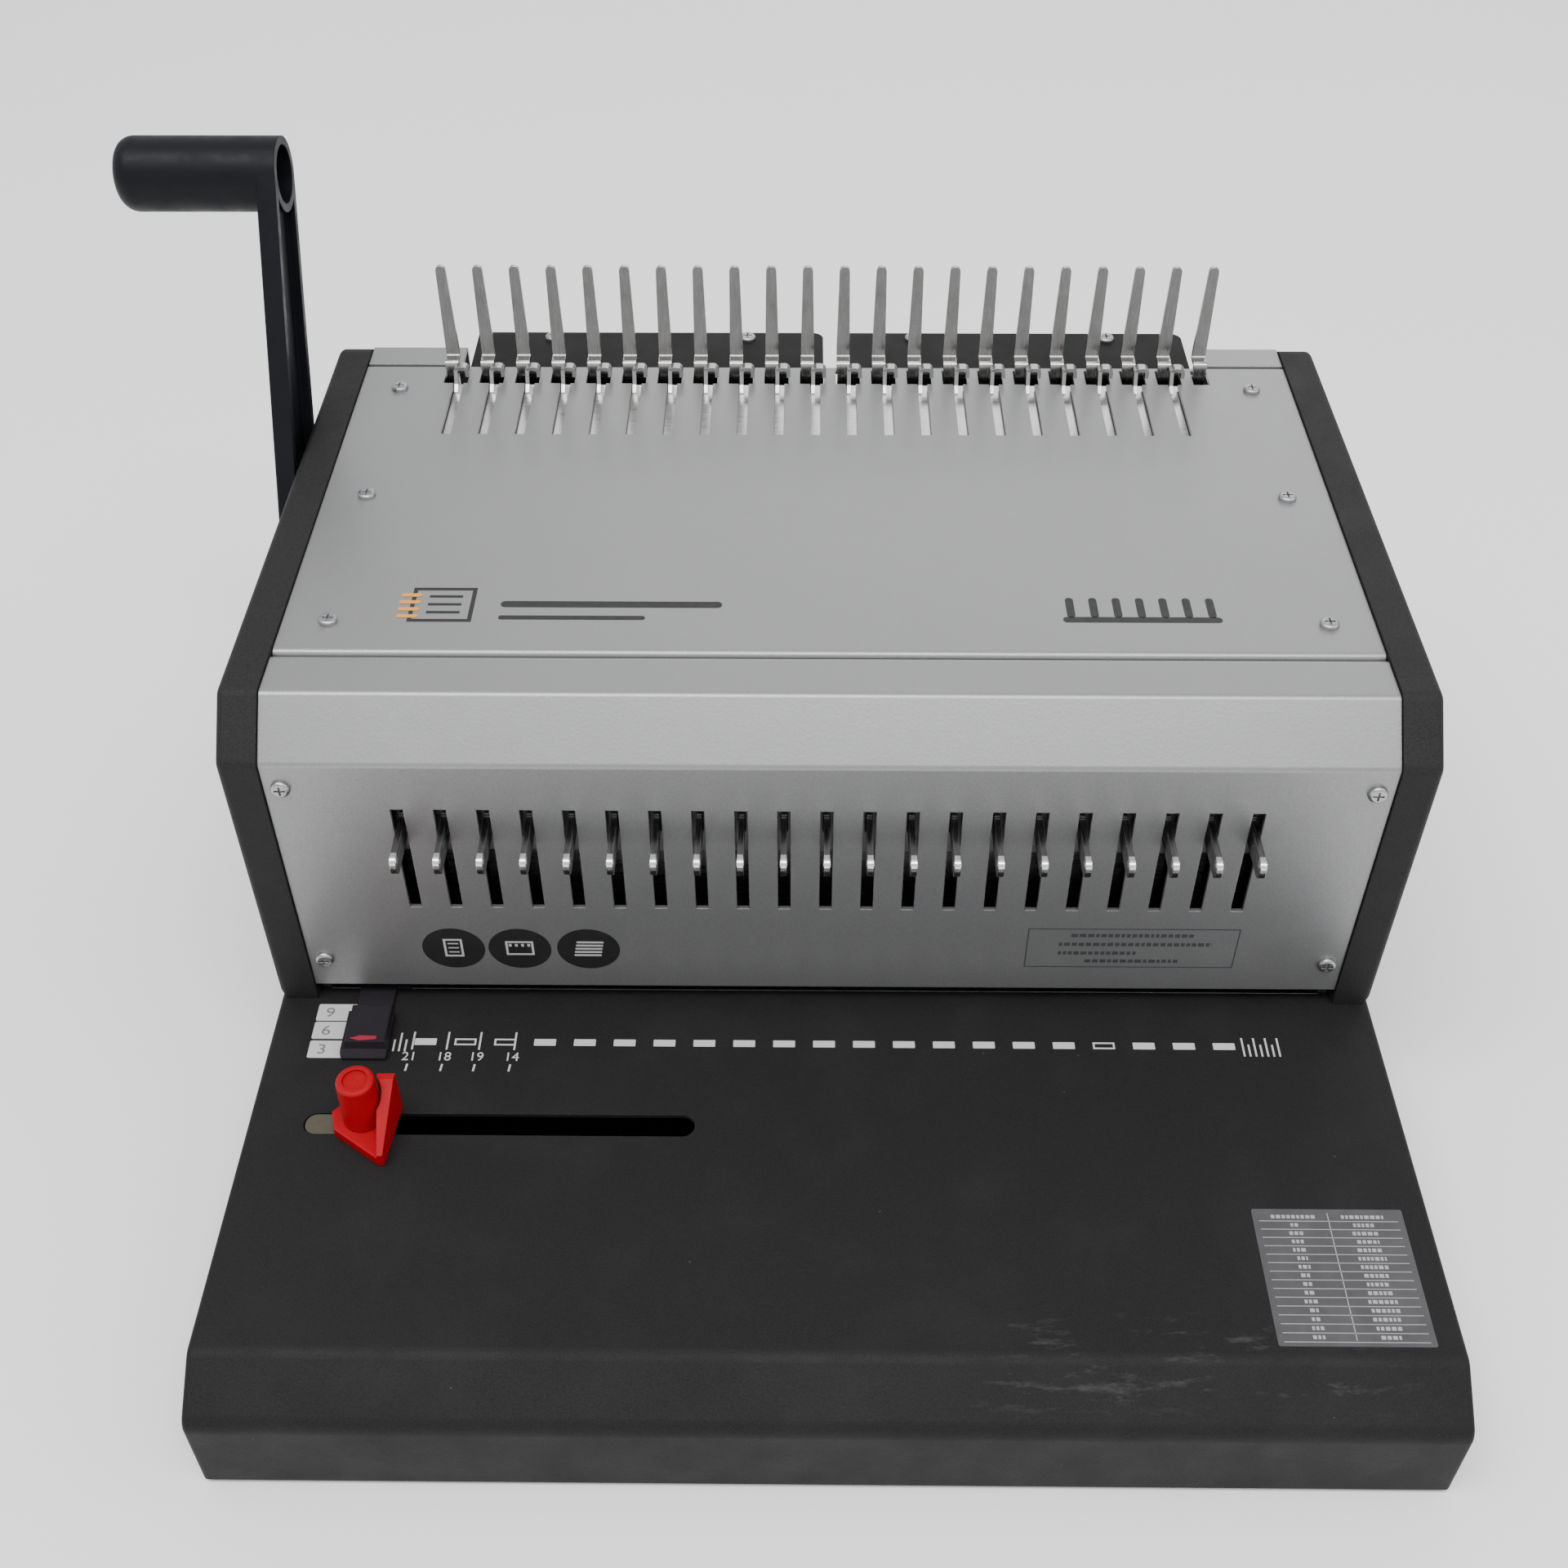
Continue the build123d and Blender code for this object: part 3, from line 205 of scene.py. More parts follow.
def powder_coat(name, colour, handled=False):
    """Black powder-coated steel: fine orange peel, pale specks, worn edges, and scuffs if handled."""
    f = Finish(name, 0.5)
    f.set("Specular IOR Level", 0.16)
    peel = f.noise(0.9 * MM, 0.25, 0.75, detail=3.0)
    grain = f.noise(0.35 * MM, 0.3, 0.7, detail=2.0)
    cloud = f.noise(60 * MM, 0.3, 0.7)
    colour_now = f.mix(grain, shade(colour, 0.45), shade(colour, 1.7))
    colour_now = f.tinted(colour_now, cloud, 0.14, shade(colour, 1.3))
    colour_now = f.tinted(colour_now, f.specks(9 * MM, 0.22 * MM, 0.35), 0.5, (0.22, 0.22, 0.21))
    rough = f.ramp(f.noise(18 * MM, 0.3, 0.7), 0, 1, 0.52, 0.64)
    if handled:
        bend = f.maths("MULTIPLY", f.inside("X", *SCUFFED_X, 0.02), f.inside("Y", *SCUFFED_Y, 0.006))
        smear = f.noise(7 * MM, 0.56, 0.74, stretch=(0.35, 1.6, 1.0), detail=5.0, rough=0.7)
        colour_now = f.tinted(colour_now, f.maths("MULTIPLY", bend, smear), 0.3, (0.13, 0.13, 0.125))
        dust = f.maths("MULTIPLY", f.noise(30 * MM, 0.5, 0.8, detail=6.0), 0.06)
        colour_now = f.mix(dust, colour_now, (0.07, 0.07, 0.068))
        scratches = f.scratches(30 * MM, 0.5 * MM, 0.735, 0.6)
        colour_now = f.tinted(colour_now, scratches, 0.35, (0.12, 0.12, 0.12))
    wear = f.maths("MULTIPLY", f.edges_for_wear_and_highlights(0.5 * MM), f.noise(2.4 * MM, 0.45, 0.7))
    colour_now = f.tinted(colour_now, wear, 0.35, (0.11, 0.11, 0.11))
    f.set("Base Color", colour_now)
    f.set("Roughness", rough)
    f.set("Normal", f.bump(peel, 0.035 * MM, f.edges(0.5 * MM)))
    return f.material


def enamel(name, colour):
    """Silver metallic enamel: sparkling flake under a thin clear coat, with faint marks of use."""
    f = Finish(name, 0.4, 0.72)
    flake = f.noise(0.30 * MM, 0.25, 0.75, detail=2.0, rough=0.7)
    cloud = f.noise(45 * MM, 0.3, 0.7)
    colour_now = f.mix(flake, shade(colour, 0.76), shade(colour, 1.20))
    colour_now = f.tinted(colour_now, cloud, 0.12, shade(colour, 0.86))
    smear = f.noise(16 * MM, 0.55, 0.8, stretch=(1.0, 0.35, 1.0), detail=5.0)
    colour_now = f.tinted(colour_now, smear, 0.06, shade(colour, 0.7))
    scratches = f.scratches(40 * MM, 0.4 * MM, 0.75, 1.1)
    colour_now = f.tinted(colour_now, scratches, 0.25, shade(colour, 1.35))
    chips = f.maths("MULTIPLY", f.edges_for_wear_and_highlights(0.35 * MM), f.noise(1.5 * MM, 0.5, 0.62))
    colour_now = f.tinted(colour_now, chips, 0.6, (0.75, 0.75, 0.74))
    f.set("Base Color", colour_now)
    f.set("Roughness", f.ramp(f.noise(9 * MM, 0.3, 0.7), 0, 1, 0.39, 0.43))
    f.set("Coat Weight", 0.22)
    f.set("Coat Roughness", 0.22)
    peel = f.noise(1.1 * MM, 0.25, 0.75, detail=2.0)
    f.set("Normal", f.bump(peel, 0.018 * MM, f.edges(0.4 * MM)))
    return f.material


BROWN_TARNISH = (0.30, 0.27, 0.22)


def bare_metal(name, colour, roughness, grain, grain_depth, stain, tarnish=BROWN_TARNISH, spangle=0.0):
    """Bare or plated steel: drawn grain, cloudy stains, and edges brightened partly as rubbed wear and
    partly as painted highlight.
    """
    f = Finish(name, roughness, 1.0)
    lines = f.noise(0.5 * MM, 0.25, 0.75, stretch=grain, detail=3.0, rough=0.65)
    colour_now = f.mix(lines, shade(colour, 0.8), shade(colour, 1.12))
    colour_now = f.tinted(colour_now, f.noise(6 * MM, 0.45, 0.8, detail=5.0), stain, tarnish)
    if spangle:
        cells = f.add("ShaderNodeTexVoronoi", {"Vector": f.coords, "Scale": 1 / (5 * MM)}).outputs["Color"]
        tone = f.add("ShaderNodeSeparateColor", {"Color": cells}).outputs["Red"]
        colour_now = f.tinted(colour_now, tone, spangle, shade(colour, 0.6))
    # Brighter edges: partly rubbed wear, partly a painted highlight for the light that edges catch.
    colour_now = f.tinted(colour_now, f.edges_for_wear_and_highlights(0.3 * MM), 0.5, shade(colour, 1.3))
    f.set("Base Color", colour_now)
    spread = f.maths("MULTIPLY", lines, roughness * 0.5)
    f.set("Roughness", f.maths("ADD", spread, roughness * 0.75))
    f.set("Normal", f.bump(lines, grain_depth, f.edges(0.22 * MM)))
    return f.material


def moulded(name, colour, roughness, texture_size, texture_depth):
    """Moulded plastic: spark-eroded texture, flow clouds, rubbed corners and fine handling marks."""
    f = Finish(name, roughness)
    f.set("Specular IOR Level", 0.16)
    texture = f.noise(texture_size, 0.25, 0.75, detail=3.0, rough=0.6)
    cloud = f.noise(22 * MM, 0.3, 0.75)
    colour_now = f.mix(texture, shade(colour, 0.86), shade(colour, 1.1))
    colour_now = f.tinted(colour_now, cloud, 0.3, shade(colour, 1.28))
    rubbed = f.maths("MULTIPLY", f.edges_for_wear_and_highlights(0.6 * MM), f.noise(3 * MM, 0.35, 0.7))
    colour_now = f.tinted(colour_now, rubbed, 0.4, shade(colour, 1.9))
    scratches = f.scratches(18 * MM, 0.3 * MM, 0.72, 0.8)
    colour_now = f.tinted(colour_now, scratches, 0.3, shade(colour, 1.9))
    f.set("Base Color", colour_now)
    f.set("Roughness", f.ramp(f.noise(7 * MM, 0.3, 0.7), 0, 1, roughness * 0.85, roughness * 1.2))
    f.set("Normal", f.bump(texture, texture_depth, f.edges(0.5 * MM)))
    return f.material


def ink(name, colour):
    """Screen-printed ink: slightly uneven cover, with pinholes and a satin face."""
    f = Finish(name, 0.5)
    cover = f.noise(0.6 * MM, 0.3, 0.75, detail=4.0)
    colour_now = f.tinted(colour, cover, 0.35, shade(colour, 0.72))
    colour_now = f.tinted(colour_now, f.specks(1.6 * MM, 0.12 * MM, 0.3), 0.7, shade(colour, 0.4))
    f.set("Base Color", colour_now)
    f.set("Roughness", f.ramp(f.noise(3 * MM, 0.3, 0.7), 0, 1, 0.42, 0.6))
    f.set("Normal", f.bump(cover, 0.01 * MM))
    return f.material


def plastic_film(name, colour):
    """The chart sticker's smoky film: faint trapped bubbles and slightly lifted, dusty patches."""
    f = Finish(name, 0.32)
    cloud = f.noise(9 * MM, 0.3, 0.75, detail=5.0)
    colour_now = f.mix(cloud, shade(colour, 0.82), shade(colour, 1.16))
    colour_now = f.tinted(colour_now, f.specks(3 * MM, 0.3 * MM, 0.25), 0.5, shade(colour, 1.9))
    f.set("Base Color", colour_now)
    f.set("Roughness", f.ramp(f.noise(4 * MM, 0.3, 0.7), 0, 1, 0.26, 0.44))
    f.set("Normal", f.bump(f.noise(5 * MM, 0.3, 0.7), 0.03 * MM))
    return f.material


ALONG_X, ALONG_Y, ALONG_Z = (0.04, 1.0, 1.0), (1.0, 0.04, 1.0), (1.0, 1.0, 0.04)
UNGRAINED = (1, 1, 1)
STEEL = (0.44, 0.437, 0.43)
ZINC = (0.46, 0.46, 0.47)
BRONZE, BRONZE_TARNISH = (0.52, 0.34, 0.17), (0.12, 0.08, 0.05)
FINISHES = {
    "table_black": powder_coat("table_powder_coat", (0.0100, 0.0098, 0.0098), handled=True),
    "cap_black": powder_coat("cap_powder_coat", (0.0150, 0.0147, 0.0150)),
    "silver": enamel("silver_enamel", (0.312, 0.312, 0.314)),
    "polished_steel": bare_metal("polished_steel", STEEL, 0.24, ALONG_Z, 0.006 * MM, 0.35),
    "zinc_steel": bare_metal("zinc_plate", ZINC, 0.34, ALONG_X, 0.008 * MM, 0.3, spangle=0.35),
    "tool_steel": bare_metal("ground_tool_steel", (0.34, 0.34, 0.345), 0.3, ALONG_X, 0.012 * MM, 0.45),
    "spring_steel": bare_metal("spring_wire", ZINC, 0.28, ALONG_Z, 0.006 * MM, 0.3),
    "bronze": bare_metal("sintered_bronze", BRONZE, 0.42, UNGRAINED, 0.02 * MM, 0.6, BRONZE_TARNISH),
    "black_plate": powder_coat("shelf_powder_coat", (0.008, 0.008, 0.008)),
    "lever_black": moulded("lever_plastic", (0.0042, 0.0046, 0.0066), 0.46, 0.7 * MM, 0.02 * MM),
    "knob_black": moulded("knob_plastic", (0.0150, 0.0125, 0.0165), 0.42, 0.5 * MM, 0.012 * MM),
    "guide_red": moulded("guide_plastic", (0.34, 0.0003, 0.0060), 0.46, 0.8 * MM, 0.012 * MM),
    # The nylon's colour is darkened as painted shade, for the shadow that falls on the slide.
    "nylon": moulded("nylon_with_painted_shade", (0.078, 0.072, 0.052), 0.42, 0.6 * MM, 0.01 * MM),
    "foot_rubber": moulded("foot_rubber", (0.016, 0.016, 0.016), 0.75, 0.6 * MM, 0.04 * MM),
    "drawer_black": moulded("drawer_plastic", (0.017, 0.017, 0.018), 0.46, 0.8 * MM, 0.03 * MM),
    "print_white": ink("white_ink", (0.50, 0.50, 0.49)),
    "print_dark": ink("dark_ink", (0.010, 0.010, 0.010)),
}
RED_INK = ink("red_ink", (0.30, 0.004, 0.024))
GREY_INK = ink("grey_ink", (0.34, 0.34, 0.34))
FAINT_INK = ink("faint_ink", (0.045, 0.047, 0.050))
LABEL_INK = ink("label_ink", (0.15, 0.15, 0.16))
AMBER_INK = ink("amber_ink", (0.75, 0.30, 0.03))
FILM = plastic_film("smoky_film", (0.064, 0.062, 0.067))


def tab_steel():
    """Dull drawn steel, with painted highlights: brighter along its edges and on the bead at its tip."""
    tip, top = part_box("pull_tab_11")[0].y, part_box("pull_tab_11")[1].z
    f = Finish("tab_steel", 0.26, 1.0)
    lines = f.noise(0.5 * MM, 0.25, 0.75, stretch=ALONG_Y, detail=3.0)
    colour_now = f.mix(lines, (0.13, 0.13, 0.125), (0.22, 0.22, 0.21))
    # Painted highlight: the tab's edges are brightened to stand for the light they catch.
    colour_now = f.tinted(colour_now, f.edges_for_wear_and_highlights(0.3 * MM, 0.02, 0.2), 0.8, (0.62, 0.62, 0.60))
    # Painted highlight: the bead at the tab's tip is brightened to stand for the light on its bend.
    bead = f.maths("MULTIPLY", f.inside("Y", tip - 1 * MM, tip + 3.9 * MM, 0.3 * MM),
                   f.inside("Z", top - 4.6 * MM, top + 1 * MM, 0.3 * MM))
    colour_now = f.mix(bead, colour_now, f.mix(lines, (0.74, 0.74, 0.72), (0.9, 0.9, 0.88)))
    f.set("Base Color", colour_now)
    f.set("Roughness", f.ramp(lines, 0, 1, 0.2, 0.34))
    f.set("Normal", f.bump(lines, 0.006 * MM, f.edges(0.25 * MM)))
    return f.material


def finish_cad_nodes():
    """Every CAD node gets the finish of its slot; strips that are grained another way get their own."""
    drawn_y = tab_steel()
    drawn_x = bare_metal("plate_steel", (0.58, 0.58, 0.575), 0.2, ALONG_X, 0.006 * MM, 0.25)
    own = {f"pull_tab_{i:02d}": drawn_y for i in range(1, 22)}
    own["hook_carriage"] = drawn_x
    for part in frame["record"]["subparts"]:
        mesh = frame["nodes"][part["node"]].data
        mesh.materials.clear()
        mesh.materials.append(own.get(part["node"], FINISHES[part["material_slot"]]))


# ---- Return springs ------------------------------------------------------------------------------
COIL_WIRE_R = 0.7 * MM
COIL_TURNS, COIL_STEPS, WIRE_SIDES = 10, 36, 10
COIL_GAP = 0.1 * MM


def coil_height(turn, closed):
    """How far up the spring a turn lies, from 0 to 1; the first and last turns rise by closed only."""
    if turn <= 1:
        return closed * turn
    if turn >= COIL_TURNS - 1:
        return 1 - closed * (COIL_TURNS - turn)
    return closed + (1 - 2 * closed) * (turn - 1) / (COIL_TURNS - 2)


def return_coils():
    """The two return springs as coiled wire, attached to the punch body."""
    low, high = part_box("return_springs")
    coil_r = (high.y - low.y) / 2 - COIL_WIRE_R
    axis_y = (high.y + low.y) / 2
    z0, z1 = low.z + COIL_WIRE_R + COIL_GAP, high.z - COIL_WIRE_R - COIL_GAP
    closed = 2.2 * COIL_WIRE_R / (z1 - z0)
    bm = bmesh.new()
    for axis_x in (low.x + COIL_WIRE_R + coil_r, high.x - COIL_WIRE_R - coil_r):
        rings = []
        for i in range(COIL_TURNS * COIL_STEPS + 1):
            turn = i / COIL_STEPS
            out = Vector((math.cos(2 * math.pi * turn), math.sin(2 * math.pi * turn), 0))
            centre = Vector((axis_x, axis_y, z0 + (z1 - z0) * coil_height(turn, closed))) + out * coil_r
            angles = [2 * math.pi * k / WIRE_SIDES for k in range(WIRE_SIDES)]
            offsets = [out * math.cos(a) + Vector((0, 0, math.sin(a))) for a in angles]
            rings.append([bm.verts.new(centre + offset * COIL_WIRE_R) for offset in offsets])
        for first, second in zip(rings, rings[1:]):
            for k in range(WIRE_SIDES):
                n = (k + 1) % WIRE_SIDES
                bm.faces.new((first[k], first[n], second[n], second[k]))
        bm.faces.new(rings[0])
        bm.faces.new(reversed(rings[-1]))
    bmesh.ops.recalc_face_normals(bm, faces=bm.faces)
    mesh = bpy.data.meshes.new("return_coils")
    bm.to_mesh(mesh)
    bm.free()
    for face in mesh.polygons:
        face.use_smooth = len(face.vertices) == 4
    coils = own_piece("return_coils", mesh, FINISHES["spring_steel"], "punch")
    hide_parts("return_springs")
    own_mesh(coils)


# ---- Flat prints ---------------------------------------------------------------------------------
def rectangle(x0, x1, y0, y1):
    return [(x0, y0), (x1, y0), (x1, y1), (x0, y1)]


def rounded(x0, x1, y0, y1, radius, steps=5):
    points = []
    for cx, cy, start in ((x1 - radius, y1 - radius, 0), (x0 + radius, y1 - radius, 90),
                          (x0 + radius, y0 + radius, 180), (x1 - radius, y0 + radius, 270)):
        for i in range(steps + 1):
            angle = math.radians(start + 90 * i / steps)
            points.append((cx + radius * math.cos(angle), cy + radius * math.sin(angle)))
    return points


def ellipse(cx, cy, rx, ry, steps=72):
    turns = [2 * math.pi * i / steps for i in range(steps)]
    return [(cx + rx * math.cos(a), cy + ry * math.sin(a)) for a in turns]


def outline_bars(x0, x1, y0, y1, width):
    """A rectangle's outline, as four bars."""
    return [
        rectangle(x0, x1, y0, y0 + width),
        rectangle(x0, x1, y1 - width, y1),
        rectangle(x0, x0 + width, y0 + width, y1 - width),
        rectangle(x1 - width, x1, y0 + width, y1 - width),
    ]


def stroke(a, b, width):
    """A straight bar from a to b."""
    ax, ay = a
    bx, by = b
    length = math.hypot(bx - ax, by - ay)
    nx, ny = -(by - ay) / length * width / 2, (bx - ax) / length * width / 2
    return [(ax + nx, ay + ny), (ax - nx, ay - ny), (bx - nx, by - ny), (bx + nx, by + ny)]


def own_piece(name, mesh, material, body):
    piece = bpy.data.objects.new(name, mesh)
    bpy.context.scene.collection.objects.link(piece)
    mesh.materials.clear()
    mesh.materials.append(material)
    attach(piece, body)
    return piece


def printed(name, shapes, place, material, body="chassis", layer=0):
    """A thin raised print: closed outlines in millimetres on a plane."""
    bm = bmesh.new()
    base = layer * LAYER_STEP * INK_T
    for shape in shapes:
        points = [place @ Vector((x * MM, y * MM, base)) for x, y in shape]
        face = bm.faces.new([bm.verts.new(p) for p in points])
        top = bmesh.ops.extrude_face_region(bm, geom=[face])["geom"]
        lift = place.to_3x3() @ Vector((0, 0, INK_T))
        raised = [v for v in top if isinstance(v, bmesh.types.BMVert)]
        bmesh.ops.translate(bm, verts=raised, vec=lift)
    bmesh.ops.recalc_face_normals(bm, faces=bm.faces)
    mesh = bpy.data.meshes.new(name)
    bm.to_mesh(mesh)
    bm.free()
    return own_piece(name, mesh, material, body)


def numeral(name, text, x, y, height, place, material, layer=0, wide=1.0):
    """A printed number, centred at (x, y) millimetres on a plane."""
    curve = bpy.data.curves.new(name + "_curve", "FONT")
    curve.body = text
    curve.align_x = "CENTER"
    curve.align_y = "CENTER"
    curve.size = height * MM / CAP_HEIGHT
    curve.extrude = INK_T / 2
    curve.resolution_u = 3
    source = bpy.data.objects.new(name + "_source", curve)
    bpy.context.scene.collection.objects.link(source)
    bpy.context.view_layer.update()
    mesh = bpy.data.meshes.new_from_object(source.evaluated_get(bpy.context.evaluated_depsgraph_get()))
    bpy.data.objects.remove(source)
    bpy.data.curves.remove(curve)
    lift = Matrix.Translation((x * MM, y * MM, INK_T * (0.5 + LAYER_STEP * layer)))
    mesh.transform(place @ lift @ Matrix.Diagonal((wide, 1, 1, 1)))
    return own_piece(name, mesh, material, "chassis")


# ---- Table prints --------------------------------------------------------------------------------
MARK_Y = -56.0
MARK_W, MARK_H = 7.8, 3.0
OUTLINED_MARKS = (2, 3, 18)
MARK_LINE = 0.65
TICK_HALF, TICK_STEP = 0.33, 2.1
TICK_ROWS = ((-1, 149.8, 4, False), (1, 149.6, 7, True))  # side, first x, count, whether the first is tall
SHEET_EDGES = {"21": -147.3, "18": -134.9, "19": -123.3, "14": -110.7}
MARGINS = (("9", -42.8), ("6", -51.1), ("3", -59.7))
MARGIN_X0, MARGIN_X1, MARGIN_HALF = -184.3, -167.0, 3.9


def table_marks():
    """The row of hole marks, with fine scale ticks at both ends and sheet-edge numbers at the left."""
    white = FINISHES["print_white"]
    solid, hollow = [], []
    for i, hole_x in enumerate(HOLE_XS, start=1):
        x = hole_x / MM
        box = (x - MARK_W / 2, x + MARK_W / 2, MARK_Y - MARK_H / 2, MARK_Y + MARK_H / 2)
        if i in OUTLINED_MARKS:
            hollow += outline_bars(*box, MARK_LINE)
        else:
            solid.append(rounded(*box, 0.25))
    printed("hole_marks", solid, TABLE, white)
    printed("hole_marks_outlined", hollow, TABLE, white)
    ticks = []
    for side, first, count, tall_first in TICK_ROWS:
        for i in range(count):
            tall = (i % 2 == 0) == tall_first
            x = side * (first + i * TICK_STEP)
            top = MARK_Y + (3.9 if tall else 0.9)
            ticks.append(rectangle(x - TICK_HALF, x + TICK_HALF, MARK_Y - 4.4, top))
    printed("scale_ticks", ticks, TABLE, white)
    lines = []
    for text, x in SHEET_EDGES.items():
        lines.append(rectangle(x - TICK_HALF, x + TICK_HALF, MARK_Y - 3.6, MARK_Y + 4.4))
        lines.append(stroke((x - 0.6, MARK_Y - 10.1), (x - 0.9, MARK_Y - 13.2), 0.7))
        numeral(f"sheet_number_{text}", text, x - 0.5, MARK_Y - 6.8, 3.9, TABLE, white)
    printed("sheet_edge_lines", lines, TABLE, white, layer=1)


def margin_labels():
    """Three pale plates, one for each depth of margin, partly under the margin selector."""
    for text, y in MARGINS:
        box = rounded(MARGIN_X0, MARGIN_X1, y - MARGIN_HALF, y + MARGIN_HALF, 0.7)
        printed(f"margin_plate_{text}", [box], TABLE, FINISHES["print_white"])
        numeral(f"margin_number_{text}", text, -179.6, y - 0.2, 4.4, TABLE, LABEL_INK,
                layer=1, wide=1.2)


CHART = (140.5, 190.0, -174.0, -124.0)
CHART_ROWS = 15


def comb_chart():
    """The size chart: a smoky film with two ruled columns of dashes that stand in for its figures."""
    random.seed(11)
    x0, x1, y0, y1 = CHART
    printed("chart_film", [rounded(x0, x1, y0, y1, 0.8)], TABLE, FILM)
    row_h = (y1 - y0 - 3) / CHART_ROWS
    rules = [rectangle((x0 + x1) / 2 - 0.15, (x0 + x1) / 2 + 0.15, y0 + 2, y1 - 1.5)]
    dashes = []
    for i in range(CHART_ROWS):
        y = y1 - 1.5 - row_h * (i + 1)
        rules.append(rectangle(x0 + 2, x1 - 2, y - 0.13, y + 0.13))
        for centre, spread in ((x0 + 13.5, 2.0), (x1 - 13.5, 4.2)):
            half = (7.5 if i == 0 else spread) + random.uniform(-0.7, 0.7)
            left = centre - half
            while left < centre + half - 0.5:
                width = random.uniform(0.8, 1.5)
                low = y + row_h * 0.32
                dashes.append(rectangle(left, min(left + width, centre + half), low, low + row_h * 0.42))
                left += width + 0.45
    printed("chart_rules", rules, TABLE, GREY_INK, layer=1)
    printed("chart_dashes", dashes, TABLE, GREY_INK, layer=1)


# ---- Cover prints --------------------------------------------------------------------------------
OVAL_Z = 74.8
OVAL_XS, OVAL_RX, OVAL_RZ = (-132.4, -108.7, -84.2), 11.2, 10.4
NOTICE = (71.5, 146.2, 66.6, 87.0)
NOTICE_LINES = ((83.4, 87.0, 130.4), (78.8, 83.0, 137.0), (74.2, 83.0, 110.8), (70.0, 93.0, 126.2))
COMB_TEETH = (83.0, 91.0, 99.0, 107.0, 115.0, 123.0, 131.0)


def front_badges():
    """Three black ovals with plain pictograms: a sheet, a punched sheet and a stack of sheets."""
    light = FINISHES["print_white"]
    ovals = [ellipse(x, OVAL_Z, OVAL_RX, OVAL_RZ) for x in OVAL_XS]
    printed("badge_ovals", ovals, FRONT, FINISHES["print_dark"])
    z = OVAL_Z + 0.3
    sheet_x, punched_x, stack_x = OVAL_XS
    sheet = outline_bars(sheet_x - 3.4, sheet_x + 3.4, z - 4.6, z + 4.6, 0.8)
    for k in (-2.2, 0, 2.2):
        sheet.append(rectangle(sheet_x - 1.9, sheet_x + 1.9, z + k - 0.25, z + k + 0.25))
    punched = outline_bars(punched_x - 5.0, punched_x + 5.0, z - 3.6, z + 3.6, 0.8)
    for k in (-3.3, -1.1, 1.1, 3.3):
        punched.append(rectangle(punched_x + k - 0.5, punched_x + k + 0.5, z + 0.9, z + 2.2))
    stack = []
    for k in range(5):
        x, low = stack_x + k * 0.3, z - 4 + k * 1.7
        stack.append(rectangle(x - 5.2, x + 4.4, low, low + 0.9))
    printed("badge_pictograms", sheet + punched + stack, FRONT, light, layer=1)


def front_notice():
    """The outlined notice panel, with short bars that stand in for its lines of text."""
    random.seed(23)
    printed("notice_outline", outline_bars(*NOTICE, 0.45), FRONT, FAINT_INK)
    bars = []
    for z, left, right in NOTICE_LINES:
        x = left
        while x < right:
            width = random.uniform(1.1, 2.4)
            bars.append(rectangle(x, min(x + width, right), z - 0.85, z + 0.85))
            x += width + 0.6
    printed("notice_lines", bars, FRONT, FAINT_INK)


def top_pictograms():
    """Plain pictograms on the top: a comb-bound booklet at the left and a comb at the right."""
    dark = FINISHES["print_dark"]
    x0, x1, y0, y1 = -147.0, -121.0, 19.0, 38.0
    booklet = outline_bars(x0 + 4, x1, y0, y1, 1.5)
    booklet += [rectangle(x0 + 10.0, x1 - 4.5, y, y + 1.3) for y in (23.6, 28.0, 32.4)]
    printed("booklet_pictogram", booklet, TOP, dark)
    loops = [rounded(x0, x0 + 7.4, y - 0.9, y + 0.9, 0.85) for y in (22.0, 25.9, 29.8, 33.7)]
    printed("booklet_rings", loops, TOP, AMBER_INK, layer=1)
    rows = [rounded(-112.0, -36.0, 27.2, 30.6, 1.6), rounded(-112.0, -62.0, 20.4, 22.6, 1.0)]
    printed("booklet_bars", rows, TOP, dark)
    comb = [rounded(80.0, 134.0, 20.0, 23.0, 1.4)]
    comb += [rounded(x - 1.4, x + 1.4, 22.6, 33.6, 1.35) for x in COMB_TEETH]
    printed("comb_pictogram", comb, TOP, dark)


def selector_mark():
    """The red pointer on the margin selector."""
    top = plane((0, 0, KNOB_HIGH.z), (1, 0, 0), (0, 1, 0))
    left, y = KNOB_LOW.x / MM + 3.4, KNOB_LOW.y / MM + 4.6
    offsets = ((0, 0), (3.6, -1.0), (9.6, -0.4), (9.6, 1.1), (3.6, 1.3))
    arrow = [(left + dx, y + dy) for dx, dy in offsets]
    printed("selector_pointer", [arrow], top, RED_INK, body="margin_knob")


# ---- Stage ---------------------------------------------------------------------------------------
FLOOR_HALF = 6.0
SKY_COLOUR, SKY_STRENGTH = (0.97, 0.98, 1.0, 1.0), 0.95
SOFTBOXES = {  # place, target, size, power in watts
    "key": ((-0.25, -0.7, 2.4), (0, 0, 0.1), (2.6, 0.8), 62),
    "fill": ((1.5, -0.3, 1.4), (0, 0, 0.1), (1.2, 1.2), 8),
    "back": ((0.5, 2.2, 1.3), (0, 0.1, 0.15), (2.2, 0.8), 8),
}
CAMERA_PLACE = (-0.0085, -0.4715, 0.5654)
CAMERA_PITCH, CAMERA_YAW, CAMERA_ROLL = 0.7534, -0.0131, -0.0041  # radians; pitch is downwards
CAMERA_LENS, SENSOR_WIDTH = 42.12, 36.0


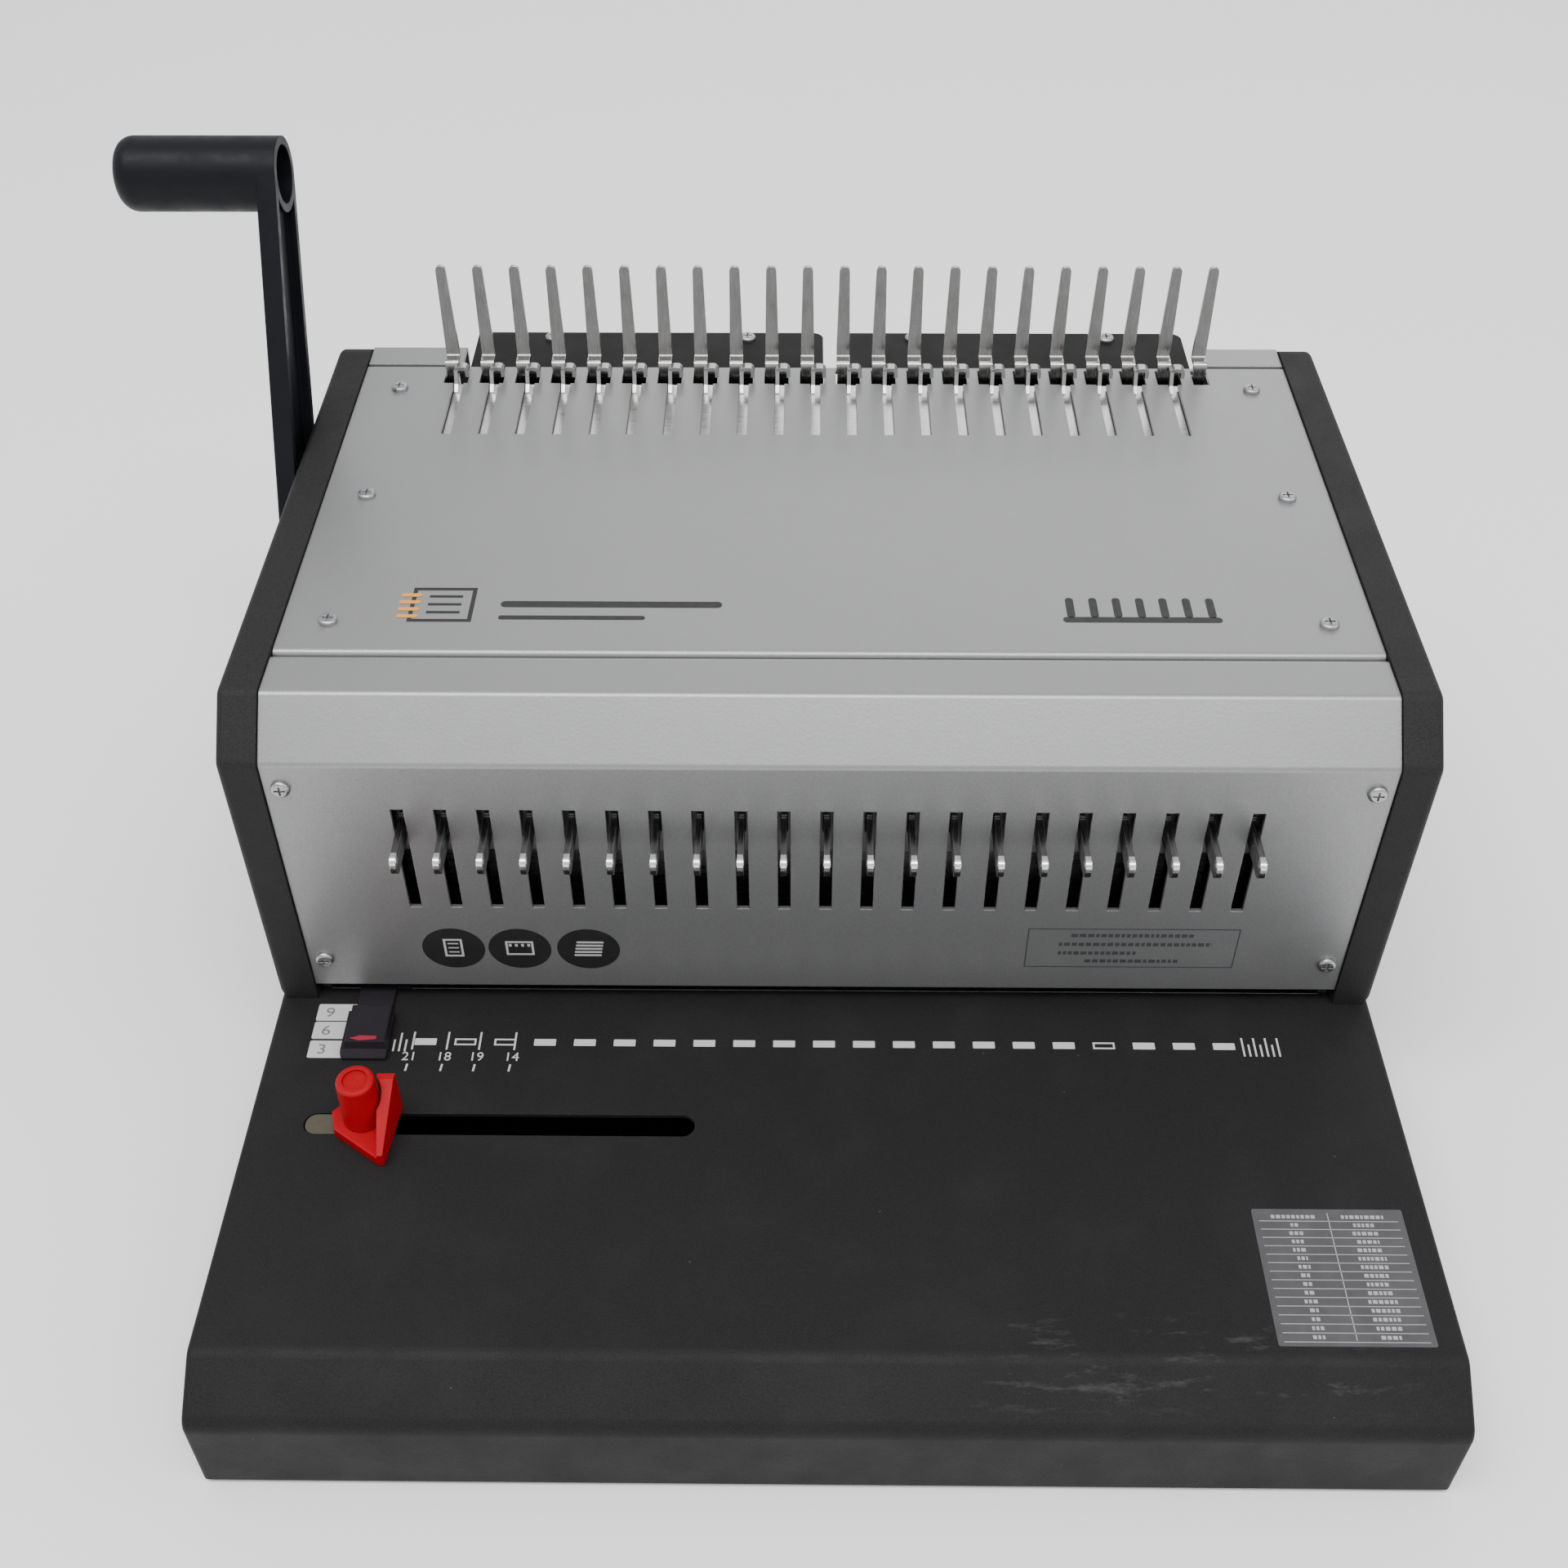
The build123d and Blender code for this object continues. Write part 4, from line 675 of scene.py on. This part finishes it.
def add_floor():
    mesh = bpy.data.meshes.new("floor")
    corners = rectangle(-FLOOR_HALF, FLOOR_HALF, -FLOOR_HALF, FLOOR_HALF)
    mesh.from_pydata([(x, y, 0) for x, y in corners], [], [(0, 1, 2, 3)])
    floor = bpy.data.objects.new("floor", mesh)
    bpy.context.scene.collection.objects.link(floor)
    f = Finish("pale_floor", 0.9)
    f.set("Base Color", f.mix(f.noise(0.4, 0.2, 0.8), (0.93, 0.93, 0.93), (0.95, 0.95, 0.95)))
    f.set("Specular IOR Level", 0.1)
    mesh.materials.append(f.material)


def softbox(name, place, target, size, power):
    data = bpy.data.lights.new(name, "AREA")
    data.shape = "RECTANGLE"
    data.size, data.size_y = size
    data.energy = power
    lamp = bpy.data.objects.new(name, data)
    lamp.location = place
    aim = Vector(target) - Vector(place)
    lamp.rotation_euler = aim.to_track_quat("-Z", "Y").to_euler()
    bpy.context.scene.collection.objects.link(lamp)


def add_lights():
    world = bpy.data.worlds.new("studio")
    world.use_nodes = True
    background = world.node_tree.nodes["Background"]
    background.inputs["Color"].default_value = SKY_COLOUR
    background.inputs["Strength"].default_value = SKY_STRENGTH
    bpy.context.scene.world = world
    for name, setting in SOFTBOXES.items():
        softbox(name, *setting)


def add_camera():
    data = bpy.data.cameras.new("camera")
    data.lens = CAMERA_LENS
    data.sensor_width = SENSOR_WIDTH
    data.clip_start, data.clip_end = 0.01, 50.0
    camera = bpy.data.objects.new("camera", data)
    level = math.cos(CAMERA_PITCH)
    ahead = Vector((math.sin(CAMERA_YAW) * level, math.cos(CAMERA_YAW) * level, -math.sin(CAMERA_PITCH)))
    level_right = ahead.cross(Vector((0, 0, 1))).normalized()
    level_up = level_right.cross(ahead)
    right = level_right * math.cos(CAMERA_ROLL) + level_up * math.sin(CAMERA_ROLL)
    up = level_up * math.cos(CAMERA_ROLL) - level_right * math.sin(CAMERA_ROLL)
    turn = Matrix((right, up, -ahead)).transposed().to_4x4()
    camera.matrix_world = Matrix.Translation(CAMERA_PLACE) @ turn
    bpy.context.scene.collection.objects.link(camera)
    bpy.context.scene.camera = camera


add_camera()
add_floor()
add_lights()
finish_cad_nodes()
return_coils()
table_marks()
margin_labels()
comb_chart()
front_badges()
front_notice()
top_pictograms()
selector_mark()
